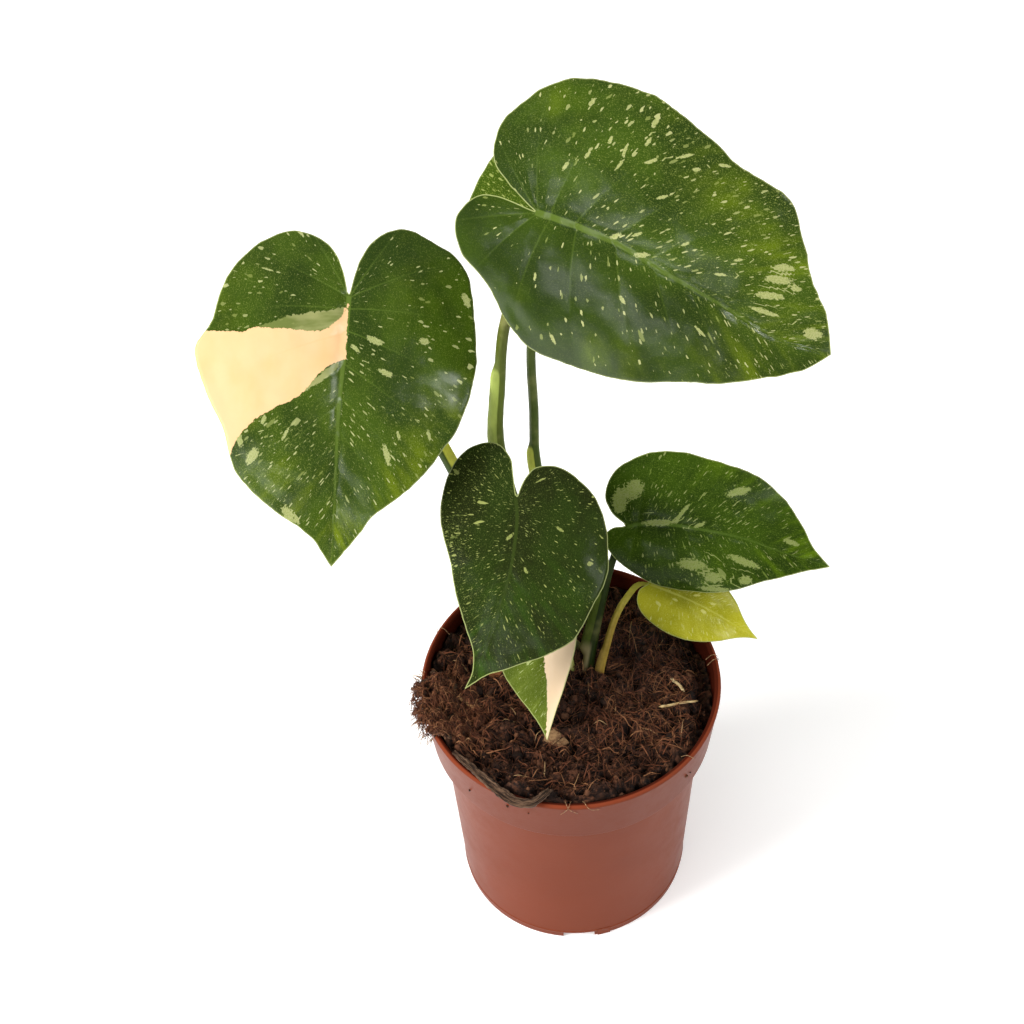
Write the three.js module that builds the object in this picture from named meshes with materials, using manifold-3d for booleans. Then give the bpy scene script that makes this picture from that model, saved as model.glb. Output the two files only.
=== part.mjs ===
// Potted variegated monstera, about 38 cm tall: a plastic nursery pot full of potting mix, a short
// buried stem, and seven petioles that each carry one heart-shaped blade.
// Millimetres, +Z up. The origin lies on the ground, under the pot's axis. Most blades face -Y.

import * as THREE from 'three';
import { mergeVertices } from 'three/addons/utils/BufferGeometryUtils.js';
import Module from 'manifold-3d';

const wasm = await Module();
wasm.setup();

// Pot
const POT_HEIGHT = 120;
const RIM_RADIUS = 60;
const COLLAR_HEIGHT = 25;
const COLLAR_FOOT_RADIUS = 56.9;
const WALL_TOP_RADIUS = 52.5;
const FOOT_RADIUS = 46.4;
const WALL = 1.5;
const LIP_WIDTH = 2.6;
const SHOULDER_HEIGHT = 2.2;
const FOOT_LINE_HEIGHT = 4.2;
const FOOT_LINE_RELIEF = 0.35;
const FLOOR_UNDERSIDE = 3.8;
const FLOOR_TOP = FLOOR_UNDERSIDE + WALL;
const PAD_RADIUS = 10;
const POT_SEGMENTS = 48;
const EDGE_EASE = 0.7;
const FLOOR_COVE = 2;
const PAD_STEP = 1.2;
const DRAIN_COUNT = 8;
const DRAIN_RADIUS = 4;
const DRAIN_SIDES = 14;
const DRAIN_RING_RADIUS = 30;
const NOTCH_COUNT = 4;
const NOTCH_WIDTH = 13;
const NOTCH_HEIGHT = 3.4;
const FIRST_NOTCH_DEG = -90;
const TAB_WIDTH = 5.5;
const TAB_RELIEF = 0.5;
const TAB_DEG = -77;

// Potting mix
const GAP = 0.35;
const MIX_GAP = 0.5;
const MIX_LEVEL = 113.6;
const MIX_HEAP = 3.4;
const MIX_HEAP_DEG = 215;
const MIX_EDGE_DROP = 4.5;
const MIX_EDGE_POWER = 8;
const MIX_SEGMENTS = 32;
const MIX_RING_SHARES = [1, 0.87, 0.71, 0.54, 0.35, 0.16];
const RIPPLE_COUNT = 12;
const RIPPLE_HEIGHT = 0.55;
const RIPPLE_WAVELENGTHS = [34, 9];
const CRUMB_COUNT = 18;
const CRUMB_RADIUS = [1.4, 3.0];
const CRUMB_REACH = RIM_RADIUS - 8;
const CRUMB_ROUGHNESS = 0.5;
const FIBRE_COUNT = 20;
const FIBRE_LENGTH = [7, 17];
const FIBRE_RADIUS = 0.55;
const FIBRE_REACH = RIM_RADIUS - 5;
const FIBRE_ROOT = 1.6;
const FIBRE_RISE = [0.4, 2.6];
const CLUMP_CENTRE = [-54.5, -5, 117.6];
const CLUMP_RADII = [10.5, 20, 5.2];
const CLUMP_ROUGHNESS = 0.28;

// Stem and petioles
const STEM_BASE = [2, 20.5, 74];
const STEM_TOP = [1.6, 21.4, 117.5];
const STEM_RADIUS = 4.4;
const STEM_SIDES = 12;
const STEM_OUTLINE = [[0, 0.9], [0.55, 1], [0.82, 0.94], [0.95, 0.8], [1, 0.45]];
const PETIOLE_SIDES = 8;
const WING_FADE = 0.035;
const WING_TAPER = 0.35;
const BLADE_CLEARANCE = 0.7;

// Blades
const BLADE_THICKNESS = 0.8;
const RIB_DEPTH = 1.5;
const RIB_HALF_WIDTH = 3.2;
const RIB_GROOVE = 0.45;
const RIB_TAPER = 0.75;
const SINUS_BACK = 1.5;
const LOBE_END = 0.06;
const VEIN_ADVANCE = 1.15;
const WAVE_RISE = 2.2;
const RINGS = [0, 0.06, 0.35, 0.7, 1];

// Each leaf: where the petiole meets the blade, where the tip is, and which way the upper face looks.
// droop, fold and cup bend the flat outline: along the rib, up at the rib, and down towards each margin
// (left, right), in radians per millimetre, except fold, in radians.
// left and right are the margins on the flat leaf, from the notch at the petiole to the tip: x runs
// along the rib, and y to the side. rib is the midrib's own sideways bow.
const LEAVES = [
  {
    name: 'upper_right',
    color: 0x3c6620,
    attach: [-7, 51, 335],
    tip: [95, 9, 300],
    faces: [-0.12, -0.79, 0.6],
    droop: 0.006,
    fold: 0.15,
    cup: [0.008, 0.014],
    left: [[-3, 0.4], [-14, 4], [-24, 8.5], [-28, 19], [-24, 31], [-12, 47], [2, 53.5], [20, 56], [40, 53],
      [60, 47.5], [79, 44.5], [88, 36], [98, 23], [109, 13]],
    right: [[-4, -0.3], [-14, -1.4], [-24, -5.2], [-28.5, -16], [-22, -26], [-8, -33], [4, -41.5],
      [18, -47], [34, -47], [52, -41.5], [72, -32.5], [86, -26], [98, -17.5], [111, -9]],
    rib: [[12, 2.2], [32, 4], [50, 2.5], [80, 0], [96, -1.8]],
    lines: [7, 13],
    wave: { height: 1.2, count: 4.5, phase: [0.4, 2.1] },
    petiole: {
      route: [[-5, 32.5, 92], [-6, 34, 113], [-15, 47, 150], [-24.5, 59, 197], [-23.2, 60.5, 233],
        [-20.2, 60.5, 267], [-9.5, 61, 306], [-4.5, 57.5, 326]],
      radius: [3.1, 2.3, 2.0],
      wing: { toward: [-1, -0.35, 0], width: 2.6, start: 0.15, end: 0.6 },
      steps: 14,
    },
  },
  {
    name: 'left',
    color: 0x46702a,
    attach: [-79, 82, 262],
    tip: [-91, 11, 187],
    faces: [0.08, -0.73, 0.68],
    droop: 0.006,
    fold: 0.1,
    cup: [0.006, 0.007],
    left: [[-2, 0.2], [-12, 2.6], [-23, 8], [-29, 18], [-25, 30], [-15, 43.5], [5, 49], [25, 50], [48, 44],
      [68, 31], [84, 14], [95, 7]],
    right: [[-2, -0.5], [-11, -3], [-20.5, -9], [-25.5, -22], [-20, -35], [-7, -46], [13, -52.5], [23, -58],
      [38, -53], [54, -44.5], [70, -39], [82, -26], [92, -10]],
    rib: [[20, -0.6], [45, -1.4], [75, -0.7]],
    lines: [7, 13],
    wave: { height: 1.0, count: 3.5, phase: [1.3, 0.2] },
    petiole: {
      route: [[-14, 28.5, 92], [-15, 30, 113], [-28, 48, 147], [-45, 68, 179], [-60, 81, 210],
        [-73, 88, 238], [-79.5, 87, 253]],
      radius: [3.1, 2.4, 1.9],
      wing: { toward: [1, -0.2, 0.4], width: 2.4, start: 0.2, end: 0.62 },
      steps: 13,
    },
  },
  {
    name: 'centre',
    color: 0x2f4f1e,
    attach: [-19, 30, 200],
    tip: [-42, -20, 146],
    faces: [-0.24, -0.66, 0.71],
    droop: 0.006,
    fold: 0.1,
    cup: [0.012, 0.014],
    left: [[-2, 0.1], [-9, 1], [-14, 3.7], [-17, 12], [-12.5, 25.5], [-4, 34.5], [6, 39.5], [18, 43],
      [32, 40.5], [46, 37], [55, 28.5], [63, 16.5], [70, 7]],
    right: [[-2, -0.6], [-9, -3.9], [-15, -7.2], [-19, -14], [-16, -22.5], [-8, -28.5], [3, -30], [15, -27],
      [28, -19.5], [43, -11.5], [54, -4.5], [62, 0], [70, 1.3]],
    rib: [[6, 2.4], [20, 5.4], [34, 6.3], [54, 4.8], [66, 3.6]],
    lines: [6, 11],
    wave: { height: 0.7, count: 3.5, phase: [0.9, 2.8] },
    petiole: {
      route: [[-7.2, 22.4, 92], [-7.5, 24, 113], [-12, 34, 140], [-17, 39, 172], [-19.2, 37, 188]],
      radius: [2.6, 1.9, 1.5],
      wing: { toward: [1, -0.2, 0], width: 1.8, start: 0.25, end: 0.5 },
      steps: 9,
    },
  },
  {
    name: 'right',
    color: 0x35591f,
    attach: [25, 38, 170],
    tip: [105, 29, 150],
    faces: [0.08, -0.77, 0.64],
    droop: 0.008,
    fold: 0.08,
    cup: [0.008, 0.03],
    left: [[-2, 0.7], [-8, 4], [-12, 10.5], [-10.5, 20], [-2, 28.5], [10, 33.5], [28, 33.5], [46, 31],
      [57, 25], [67, 16], [76, 6]],
    right: [[-2, -0.4], [-6, -2], [-8.5, -6], [-4, -13.5], [5, -18.5], [18, -22], [30, -22], [45, -17],
      [57, -11], [70, -4.6]],
    rib: [[3, 1.6], [12, 4.2], [30, 5.8], [46, 5.6], [62, 3.2]],
    lines: [6, 11],
    wave: { height: 0.7, count: 3.5, phase: [2.2, 0.7] },
    petiole: {
      route: [[6.9, 11.6, 92], [7.4, 12.2, 113], [13.1, 25.8, 133], [17.9, 32.9, 152], [23.5, 40, 165]],
      radius: [3.1, 1.8, 1.2],
      wing: { toward: [-1, 0.15, 0.1], width: 3, start: 0.29, end: 0.6 },
      steps: 11,
    },
  },
  {
    name: 'low_right',
    color: 0x9aa52f,
    attach: [34, 30, 142],
    tip: [76, 14, 124],
    faces: [0.06, -0.65, 0.75],
    droop: 0.012,
    fold: 0.1,
    cup: [0.02, 0.02],
    left: [[-2, 1], [-6, 5], [-6, 10], [-1, 15], [10, 17], [22, 15], [31, 11], [39, 5], [44, 2]],
    right: [[-2, -1], [-3.5, -4], [-2, -9], [3, -12.5], [12, -14.3], [22, -13.6], [31, -10], [39, -4.5],
      [44, -1.7]],
    rib: [[12, 1.2], [24, 1.6], [38, 0.8]],
    lines: [4, 9],
    wave: { height: 0.4, count: 2.5, phase: [0.3, 1.2] },
    petiole: {
      route: [[12, 8, 92], [12, 8.4, 113], [14.6, 14, 121], [18.9, 22.2, 131], [23.2, 26.8, 137.2],
        [28.5, 31.2, 140.8], [32, 31, 141.6]],
      radius: [1.9, 1.5, 1.2],
      wing: { toward: [-1, 0, 0], width: 0.9, start: 0.3, end: 0.45 },
      steps: 11,
      shy: SINUS_BACK + GAP,
    },
  },
  {
    name: 'low_front',
    color: 0x7f9a56,
    attach: [-9, 17, 136],
    tip: [-10.7, -27.5, 119.5],
    faces: [-0.55, -0.28, 0.79],
    droop: 0.007,
    fold: 0.28,
    cup: [0.014, 0.012],
    left: [[-2, 0.5], [-6, 2.4], [-9, 7], [-8, 13], [-2, 17], [8, 17.5], [20, 14.5], [32, 9.5], [41, 4]],
    right: [[-2, -0.5], [-6, -2.4], [-9, -8], [-8, -14], [-2, -19], [8, -21], [18, -18], [27, -12.5],
      [35, -6.5], [42.5, -2]],
    rib: [[12, 1], [28, 1.4]],
    lines: [4, 9],
    wave: { height: 0.4, count: 2.5, phase: [1.7, 0.5] },
    petiole: {
      route: [[0.6, 11.4, 92], [0.2, 11.8, 113], [-2, 16.5, 124], [-6, 19.5, 131]],
      radius: [3.0, 1.9, 1.4],
      wing: { toward: [-0.4, -1, 0], width: 1.2, start: 0.45, end: 0.7 },
      steps: 7,
    },
  },
  {
    name: 'back',
    color: 0x4f8024,
    attach: [-2, 90.5, 277],
    tip: [31, 155, 286],
    faces: [0, -0.25, 0.96],
    droop: 0.006,
    fold: 0.12,
    cup: [0.008, 0.008],
    left: [[-2, 0.5], [-9, 3], [-16, 8], [-19, 17], [-14, 27], [-3, 34], [10, 37], [26, 36], [42, 30],
      [56, 21], [66, 9]],
    right: [[-2, -0.5], [-9, -3], [-16, -8], [-19, -17], [-14, -27], [-3, -34], [10, -37], [26, -35],
      [42, -29], [56, -20], [66, -8]],
    rib: [[25, 1.2], [50, 0.8]],
    lines: [6, 11],
    wave: { height: 0.8, count: 3.5, phase: [0.6, 1.9] },
    petiole: {
      route: [[4.3, 31.5, 92], [4.5, 32.5, 113], [0.5, 48, 143], [-9.6, 66.5, 173], [-10.3, 73.5, 204],
        [-10.4, 79, 234], [-7, 88, 257], [-3.2, 93, 270]],
      radius: [2.6, 1.95, 1.7],
      wing: { toward: [-1, -0.2, 0], width: 2.3, start: 0.15, end: 0.43 },
      steps: 14,
    },
  },
];

// Small pieces on the mix. Slabs are outlines lying on the surface, with their centre, turn and tilt.
const SLABS = [
  {
    name: 'wood_chip',
    color: 0x9a7b4f,
    outline: [[-5, -2.4], [2, -3.6], [5.2, -0.6], [1, 2.4], [-2.5, 3.6], [-5.4, 1.2]],
    thickness: 1.4,
    centre: [-6.5, -23.2, 114.2],
    turn: -0.35,
    tilt: 0.18,
  },
  {
    name: 'bark_chip',
    color: 0x8a5a34,
    outline: [[-3.2, -1.8], [0.6, -2.6], [3.4, -0.6], [2.6, 1.9], [-1.4, 2.5]],
    thickness: 1.6,
    centre: [-30.6, 8.2, 115.2],
    turn: 0.5,
    tilt: 0.3,
  },
];
const TWIG_SIDES = 7;
const TWIG_TAPER = 0.75;
const TWIGS = [
  { name: 'twig_dark', color: 0x3d2a1e, ends: [[-28.8, 4.6, 115.3], [-38, -8.6, 116.6]], radius: 1.05 },
  { name: 'twig_tan', color: 0xa07c52, ends: [[-47.4, -3, 119.9], [-39, -9, 117.2]], radius: 0.9 },
  { name: 'straw_long', color: 0xb59a68, ends: [[34.6, -11.2, 114.6], [50.4, -8.4, 113.2]], radius: 0.6 },
  { name: 'straw_short', color: 0xc2ab7c, ends: [[40.4, 3.2, 114.6], [45.4, -3.6, 113.4]], radius: 0.7 },
];

// Bark strip over the rim: centre points, half width and half thickness along it.
const BARK_ROUTE = [[-47.6, -31.6, 119.4], [-42, -38.6, 120.6], [-36, -46.4, 122], [-30.2, -53, 122.5],
  [-23.8, -58.2, 122.4], [-17.6, -58.8, 122.2], [-12.9, -55, 121.6], [-10.6, -51.6, 119.4]];
const BARK_HALF_WIDTH = [1.2, 2.4, 2.8, 3.2, 3.4, 2.8, 2.3, 1.5];
const BARK_HALF_THICKNESS = 0.9;

const DEG = Math.PI / 180;

// Repeatable random numbers from 0 to 1.
function randomSource(seed) {
  let state = seed >>> 0;
  return () => {
    state = (state + 0x6d2b79f5) >>> 0;
    let t = Math.imul(state ^ (state >>> 15), 1 | state);
    t = (t + Math.imul(t ^ (t >>> 7), 61 | t)) ^ t;
    return ((t ^ (t >>> 14)) >>> 0) / 4294967296;
  };
}

const lerp = (a, b, t) => a + (b - a) * t;
const vec = (p) => new THREE.Vector3(p[0], p[1], p[2] ?? 0);

// Closed solids for cutting and joining, and back to a geometry.
function toSolid(geometry) {
  const bare = geometry.clone();
  bare.deleteAttribute('normal');
  bare.deleteAttribute('uv');
  const merged = mergeVertices(bare, 1e-4);
  const vertProperties = new Float32Array(merged.attributes.position.array);
  const triVerts = new Uint32Array(merged.index.array);
  return new wasm.Manifold(new wasm.Mesh({ numProp: 3, vertProperties, triVerts }));
}

function toGeometry(solid) {
  const mesh = solid.getMesh();
  const geometry = new THREE.BufferGeometry();
  geometry.setAttribute('position', new THREE.BufferAttribute(new Float32Array(mesh.vertProperties), 3));
  geometry.setIndex(new THREE.BufferAttribute(new Uint32Array(mesh.triVerts), 1));
  geometry.computeVertexNormals();
  return geometry;
}

function largestPiece(solid) {
  const pieces = solid.decompose();
  return pieces.reduce((best, piece) => (piece.volume() > best.volume() ? piece : best));
}

function indexedGeometry(points, triangles) {
  const geometry = new THREE.BufferGeometry();
  const flat = points.flatMap((p) => [p.x, p.y, p.z]);
  geometry.setAttribute('position', new THREE.BufferAttribute(new Float32Array(flat), 3));
  geometry.setIndex(triangles);
  return geometry;
}

// Skin over a stack of rings with equal point counts, closed by a fan at each end. Rings turn
// counter-clockwise seen from the last one.
function loft(rings) {
  const sides = rings[0].length;
  const points = rings.flat();
  const triangles = [];
  for (let i = 0; i + 1 < rings.length; i++) {
    for (let j = 0; j < sides; j++) {
      const a = i * sides + j;
      const b = i * sides + (j + 1) % sides;
      triangles.push(a, b, b + sides, a, b + sides, a + sides);
    }
  }
  const centreOf = (ring) => ring.reduce((sum, p) => sum.add(p), new THREE.Vector3()).divideScalar(sides);
  const low = points.length;
  points.push(centreOf(rings[0]), centreOf(rings[rings.length - 1]));
  const last = (rings.length - 1) * sides;
  for (let j = 0; j < sides; j++) {
    triangles.push(low, (j + 1) % sides, j, low + 1, last + j, last + (j + 1) % sides);
  }
  return indexedGeometry(points, triangles);
}

// Pot

function potRadius(z) {
  const shoulder = POT_HEIGHT - COLLAR_HEIGHT;
  if (z >= shoulder) {
    return lerp(COLLAR_FOOT_RADIUS, RIM_RADIUS, (z - shoulder) / COLLAR_HEIGHT);
  }
  return lerp(FOOT_RADIUS, WALL_TOP_RADIUS, z / shoulder);
}

function potInnerRadius(z) {
  const shoulder = POT_HEIGHT - COLLAR_HEIGHT;
  const low = shoulder - SHOULDER_HEIGHT;
  if (z <= low) {
    return potRadius(z) - WALL;
  }
  if (z < shoulder) {
    const t = (z - low) / SHOULDER_HEIGHT;
    return lerp(potRadius(low), COLLAR_FOOT_RADIUS, t) - WALL;
  }
  return potRadius(z) - WALL;
}

function latheSolid(profile, segments) {
  const points = profile.map(([r, z]) => new THREE.Vector2(r, z));
  const geometry = new THREE.LatheGeometry(points, segments);
  geometry.rotateX(Math.PI / 2);
  return toSolid(geometry);
}

function boxSolid(size, centre, turn) {
  const box = new THREE.BoxGeometry(...size);
  box.translate(...centre);
  box.rotateZ(turn);
  return toSolid(box);
}

function makePot() {
  const footInner = FOOT_RADIUS - WALL;
  const shoulder = POT_HEIGHT - COLLAR_HEIGHT;
  const lip = POT_HEIGHT - LIP_WIDTH / 2;
  const lipCentre = RIM_RADIUS - LIP_WIDTH / 2;
  const lipArc = [0, 45, 90, 135, 180].map((deg) => [
    lipCentre + Math.cos(deg * DEG) * LIP_WIDTH / 2,
    lip + Math.sin(deg * DEG) * LIP_WIDTH / 2,
  ]);
  const line = FOOT_LINE_HEIGHT;
  const profile = [
    [0, 0],
    [PAD_RADIUS, 0],
    [PAD_RADIUS + PAD_STEP, FLOOR_UNDERSIDE],
    [footInner, FLOOR_UNDERSIDE],
    [footInner, 0],
    [FOOT_RADIUS - EDGE_EASE, 0],
    [FOOT_RADIUS, EDGE_EASE],
    [potRadius(line - EDGE_EASE), line - EDGE_EASE],
    [potRadius(line) + FOOT_LINE_RELIEF, line],
    [potRadius(line + EDGE_EASE), line + EDGE_EASE],
    [potRadius(shoulder - SHOULDER_HEIGHT), shoulder - SHOULDER_HEIGHT],
    [COLLAR_FOOT_RADIUS - EDGE_EASE, shoulder - EDGE_EASE],
    [COLLAR_FOOT_RADIUS, shoulder + EDGE_EASE],
    ...lipArc,
    [potInnerRadius(lip - LIP_WIDTH), lip - LIP_WIDTH],
    [potInnerRadius(shoulder), shoulder],
    [potInnerRadius(shoulder - SHOULDER_HEIGHT), shoulder - SHOULDER_HEIGHT],
    [potInnerRadius(FLOOR_TOP + FLOOR_COVE), FLOOR_TOP + FLOOR_COVE],
    [potInnerRadius(FLOOR_TOP) - FLOOR_COVE, FLOOR_TOP],
    [PAD_RADIUS, FLOOR_TOP],
    [PAD_RADIUS - PAD_STEP, WALL],
    [0, WALL],
  ];
  let pot = latheSolid(profile, POT_SEGMENTS);
  const tabCentre = [footInner + TAB_RELIEF, 0, FOOT_LINE_HEIGHT / 2 + EDGE_EASE];
  pot = pot.add(boxSolid([2 * WALL, TAB_WIDTH, FOOT_LINE_HEIGHT], tabCentre, TAB_DEG * DEG));
  for (let i = 0; i < NOTCH_COUNT; i++) {
    const turn = (FIRST_NOTCH_DEG + i * 360 / NOTCH_COUNT) * DEG;
    pot = pot.subtract(boxSolid([5 * WALL, NOTCH_WIDTH, 2 * NOTCH_HEIGHT], [footInner, 0, 0], turn));
  }
  for (let i = 0; i < DRAIN_COUNT; i++) {
    const turn = (i + 0.5) * 360 / DRAIN_COUNT * DEG;
    const hole = new THREE.CylinderGeometry(DRAIN_RADIUS, DRAIN_RADIUS, 6 * WALL, DRAIN_SIDES);
    hole.rotateX(Math.PI / 2);
    hole.translate(DRAIN_RING_RADIUS, 0, FLOOR_UNDERSIDE);
    hole.rotateZ(turn);
    pot = pot.subtract(toSolid(hole));
  }
  return toGeometry(pot);
}

// Ring a little fatter than the collar and lip, which keeps what lies over the rim clear of them.
function rimGuard() {
  const top = POT_HEIGHT + GAP;
  const low = POT_HEIGHT - COLLAR_HEIGHT + 2;
  const shoulder = POT_HEIGHT - LIP_WIDTH / 2;
  const profile = [
    [potInnerRadius(low) - GAP, low],
    [potRadius(low) + GAP, low],
    [RIM_RADIUS + GAP, shoulder],
    [RIM_RADIUS - 0.2, top - 0.4],
    [RIM_RADIUS - LIP_WIDTH / 2, top],
    [RIM_RADIUS - LIP_WIDTH + 0.2, top - 0.4],
    [RIM_RADIUS - LIP_WIDTH - GAP, shoulder],
    [potInnerRadius(low) - GAP, low],
  ];
  return latheSolid(profile, POT_SEGMENTS);
}

// Blades

function leafFrame(leaf) {
  const attach = vec(leaf.attach);
  const chord = vec(leaf.tip).sub(attach);
  const reach = chord.length();
  chord.normalize();
  const up = vec(leaf.faces);
  up.addScaledVector(chord, -up.dot(chord)).normalize();
  const side = new THREE.Vector3().crossVectors(up, chord);
  const length = 2 / leaf.droop * Math.asin(leaf.droop * reach / 2);
  const half = leaf.droop * length / 2;
  const along = chord.clone().multiplyScalar(Math.cos(half)).addScaledVector(up, Math.sin(half));
  const normal = up.clone().multiplyScalar(Math.cos(half)).addScaledVector(chord, -Math.sin(half));
  return { attach, along, side, normal, length };
}

// Point and upper normal of the bent leaf at flat place (x, y).
function bend(leaf, frame, x, y) {
  const turned = leaf.droop * x;
  const cup = y > 0 ? leaf.cup[0] : leaf.cup[1];
  const away = Math.abs(y);
  const slope = leaf.fold - cup * away;
  const across = (Math.sin(leaf.fold) - Math.sin(slope)) / cup;
  const rise = (Math.cos(slope) - Math.cos(leaf.fold)) / cup;
  const out = frame.normal.clone().multiplyScalar(Math.cos(turned));
  out.addScaledVector(frame.along, Math.sin(turned));
  const point = frame.attach.clone();
  point.addScaledVector(frame.along, Math.sin(turned) / leaf.droop);
  point.addScaledVector(frame.normal, (Math.cos(turned) - 1) / leaf.droop);
  point.addScaledVector(frame.side, Math.sign(y) * across);
  point.addScaledVector(out, rise);
  const lean = away < 1e-6 ? 0 : slope;
  const normal = out.multiplyScalar(Math.cos(lean));
  normal.addScaledVector(frame.side, -Math.sign(y) * Math.sin(lean));
  return { point, normal };
}

function flatCurve(points) {
  return new THREE.CatmullRomCurve3(points.map(vec), false, 'centripetal');
}

// Fraction of a margin's length at which it passes the petiole and starts along the rib.
function lobeShare(margin, start) {
  const samples = 200;
  let widest = 0;
  for (let i = 0; i <= samples; i++) {
    if (margin.getPointAt(i / samples).x < start) {
      widest = i / samples;
    }
  }
  return widest;
}

// Flat places of one leaf: lines from the rib to each margin, fanned round the petiole in the lobes.
function flatLines(leaf, length, grow) {
  const [lobeLines, mainLines] = leaf.lines;
  const rib = flatCurve([[0, 0], ...leaf.rib, [length, 0]]);
  const total = lobeLines + mainLines;
  return [leaf.left, leaf.right].map((edge, side) => {
    const margin = flatCurve([[-SINUS_BACK, 0], ...edge, [length, 0]]);
    const share = lobeShare(margin, LOBE_END * length);
    const lines = [];
    for (let i = 0; i <= total; i++) {
      const main = Math.max(0, (i - lobeLines) / mainLines);
      const at = i < lobeLines ? share * i / lobeLines : lerp(share, 1, main);
      const end = margin.getPointAt(at);
      const ahead = margin.getTangentAt(at);
      const turn = side === 0 ? 1 : -1;
      const outward = i === 0 ? vec([-1, 0]) : vec([-turn * ahead.y, turn * ahead.x]);
      end.addScaledVector(outward, grow);
      lines.push({ start: rib.getPointAt(Math.pow(main, VEIN_ADVANCE)), end, at });
    }
    return lines;
  });
}

// One closed blade. grow makes it fatter all round, for cutting clearances.
function bladeGeometry(leaf, grow = 0) {
  const frame = leafFrame(leaf);
  const sides = flatLines(leaf, frame.length, grow);
  const [lobeLines, mainLines] = leaf.lines;
  const last = lobeLines + mainLines;
  const edge = RINGS.length - 1;
  const tops = [];
  const bottoms = [];
  const ids = new Map();
  const idOf = (side, line, ring) => {
    let key = `${side}/${line}/${ring}`;
    if (line === last) {
      key = 'tip';
    } else if (ring === 0) {
      key = `rib/${Math.max(line, lobeLines)}`;
    } else if (line === 0) {
      key = `notch/${ring}`;
    }
    if (!ids.has(key)) {
      const { start, end, at } = sides[side][line];
      const outward = RINGS[ring];
      const x = lerp(start.x, end.x, key === 'tip' ? 1 : outward);
      const y = lerp(start.y, end.y, key === 'tip' ? 1 : outward);
      const { point, normal } = bend(leaf, frame, x, y);
      const wave = leaf.wave.height * Math.pow(outward, WAVE_RISE) * Math.sin(Math.PI * at)
        * Math.sin(2 * Math.PI * leaf.wave.count * at + leaf.wave.phase[side]);
      const away = outward * start.distanceTo(end);
      const onRib = key === 'tip' ? 1 : Math.max(0, 1 - away / RIB_HALF_WIDTH);
      const taper = 1 - RIB_TAPER * Math.max(0, x) / frame.length;
      const lift = wave - onRib * RIB_GROOVE * taper + grow;
      const depth = wave - BLADE_THICKNESS - onRib * RIB_DEPTH * taper - grow;
      ids.set(key, tops.length);
      tops.push(point.clone().addScaledVector(normal, lift));
      bottoms.push(point.clone().addScaledVector(normal, depth));
    }
    return ids.get(key);
  };
  const faces = [];
  const rims = [];
  for (const side of [0, 1]) {
    for (let line = 0; line < last; line++) {
      for (let ring = 0; ring < edge; ring++) {
        const a = idOf(side, line, ring);
        const b = idOf(side, line + 1, ring);
        const c = idOf(side, line + 1, ring + 1);
        const d = idOf(side, line, ring + 1);
        faces.push(side === 0 ? [a, b, c] : [a, c, b], side === 0 ? [a, c, d] : [a, d, c]);
      }
      const from = idOf(side, line, edge);
      const to = idOf(side, line + 1, edge);
      rims.push(side === 0 ? [from, to] : [to, from]);
    }
  }
  const under = tops.length;
  const triangles = [];
  for (const [a, b, c] of faces.filter(([a, b, c]) => a !== b && b !== c && a !== c)) {
    triangles.push(a, b, c, a + under, c + under, b + under);
  }
  for (const [from, to] of rims) {
    triangles.push(from, to, to + under, from, to + under, from + under);
  }
  return indexedGeometry([...tops, ...bottoms], triangles);
}

// Petioles

function petioleGeometry(leaf, grow = 0) {
  const { route, radius, wing, steps } = leaf.petiole;
  const frame = leafFrame(leaf);
  const end = frame.attach.clone().addScaledVector(frame.along, -(leaf.petiole.shy ?? 0));
  const curve = new THREE.CatmullRomCurve3([...route.map(vec), end], false, 'centripetal');
  const toward = vec(wing.toward);
  const places = [];
  for (let i = 0; i <= steps; i++) {
    places.push({ at: i / steps, winged: i / steps > wing.start && i / steps < wing.end });
  }
  places.push({ at: wing.start, winged: false }, { at: wing.start + WING_FADE, winged: true });
  places.push({ at: wing.end, winged: true }, { at: wing.end + WING_FADE, winged: false });
  places.sort((p, q) => p.at - q.at);
  const kept = places.filter((p, i) => i === 0 || p.at - places[i - 1].at > 0.004);
  const rings = kept.map(({ at, winged }) => {
    const centre = curve.getPointAt(at);
    const heading = curve.getTangentAt(at);
    if (at === 0) {
      centre.addScaledVector(heading, -grow);
    }
    const side = toward.clone().addScaledVector(heading, -toward.dot(heading)).normalize();
    const across = new THREE.Vector3().crossVectors(heading, side);
    const thick = at < 0.5 ? lerp(radius[0], radius[1], at * 2) : lerp(radius[1], radius[2], at * 2 - 1);
    const flange = winged ? wing.width * (1 - WING_TAPER * at / wing.end) : 0;
    const ring = [];
    for (let j = 0; j < PETIOLE_SIDES; j++) {
      const angle = 2 * Math.PI * j / PETIOLE_SIDES;
      const reach = thick + grow + (j === 0 ? flange : 0);
      ring.push(centre.clone().addScaledVector(side, reach * Math.cos(angle))
        .addScaledVector(across, reach * Math.sin(angle)));
    }
    return ring;
  });
  return loft(rings);
}

function makePetiole(leaf) {
  const whole = toSolid(petioleGeometry(leaf));
  return toGeometry(largestPiece(whole.subtract(toSolid(bladeGeometry(leaf, BLADE_CLEARANCE)))));
}

function stemGeometry(grow = 0) {
  const base = vec(STEM_BASE);
  const top = vec(STEM_TOP);
  const rings = STEM_OUTLINE.map(([at, share]) => {
    const centre = base.clone().lerp(top, at);
    centre.z += at === 0 ? -grow : grow * at;
    const ring = [];
    for (let j = 0; j < STEM_SIDES; j++) {
      const angle = 2 * Math.PI * j / STEM_SIDES;
      const r = STEM_RADIUS * share + grow;
      ring.push(vec([centre.x + r * Math.cos(angle), centre.y + r * Math.sin(angle), centre.z]));
    }
    return ring;
  });
  return loft(rings);
}

// Small pieces on the mix

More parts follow.
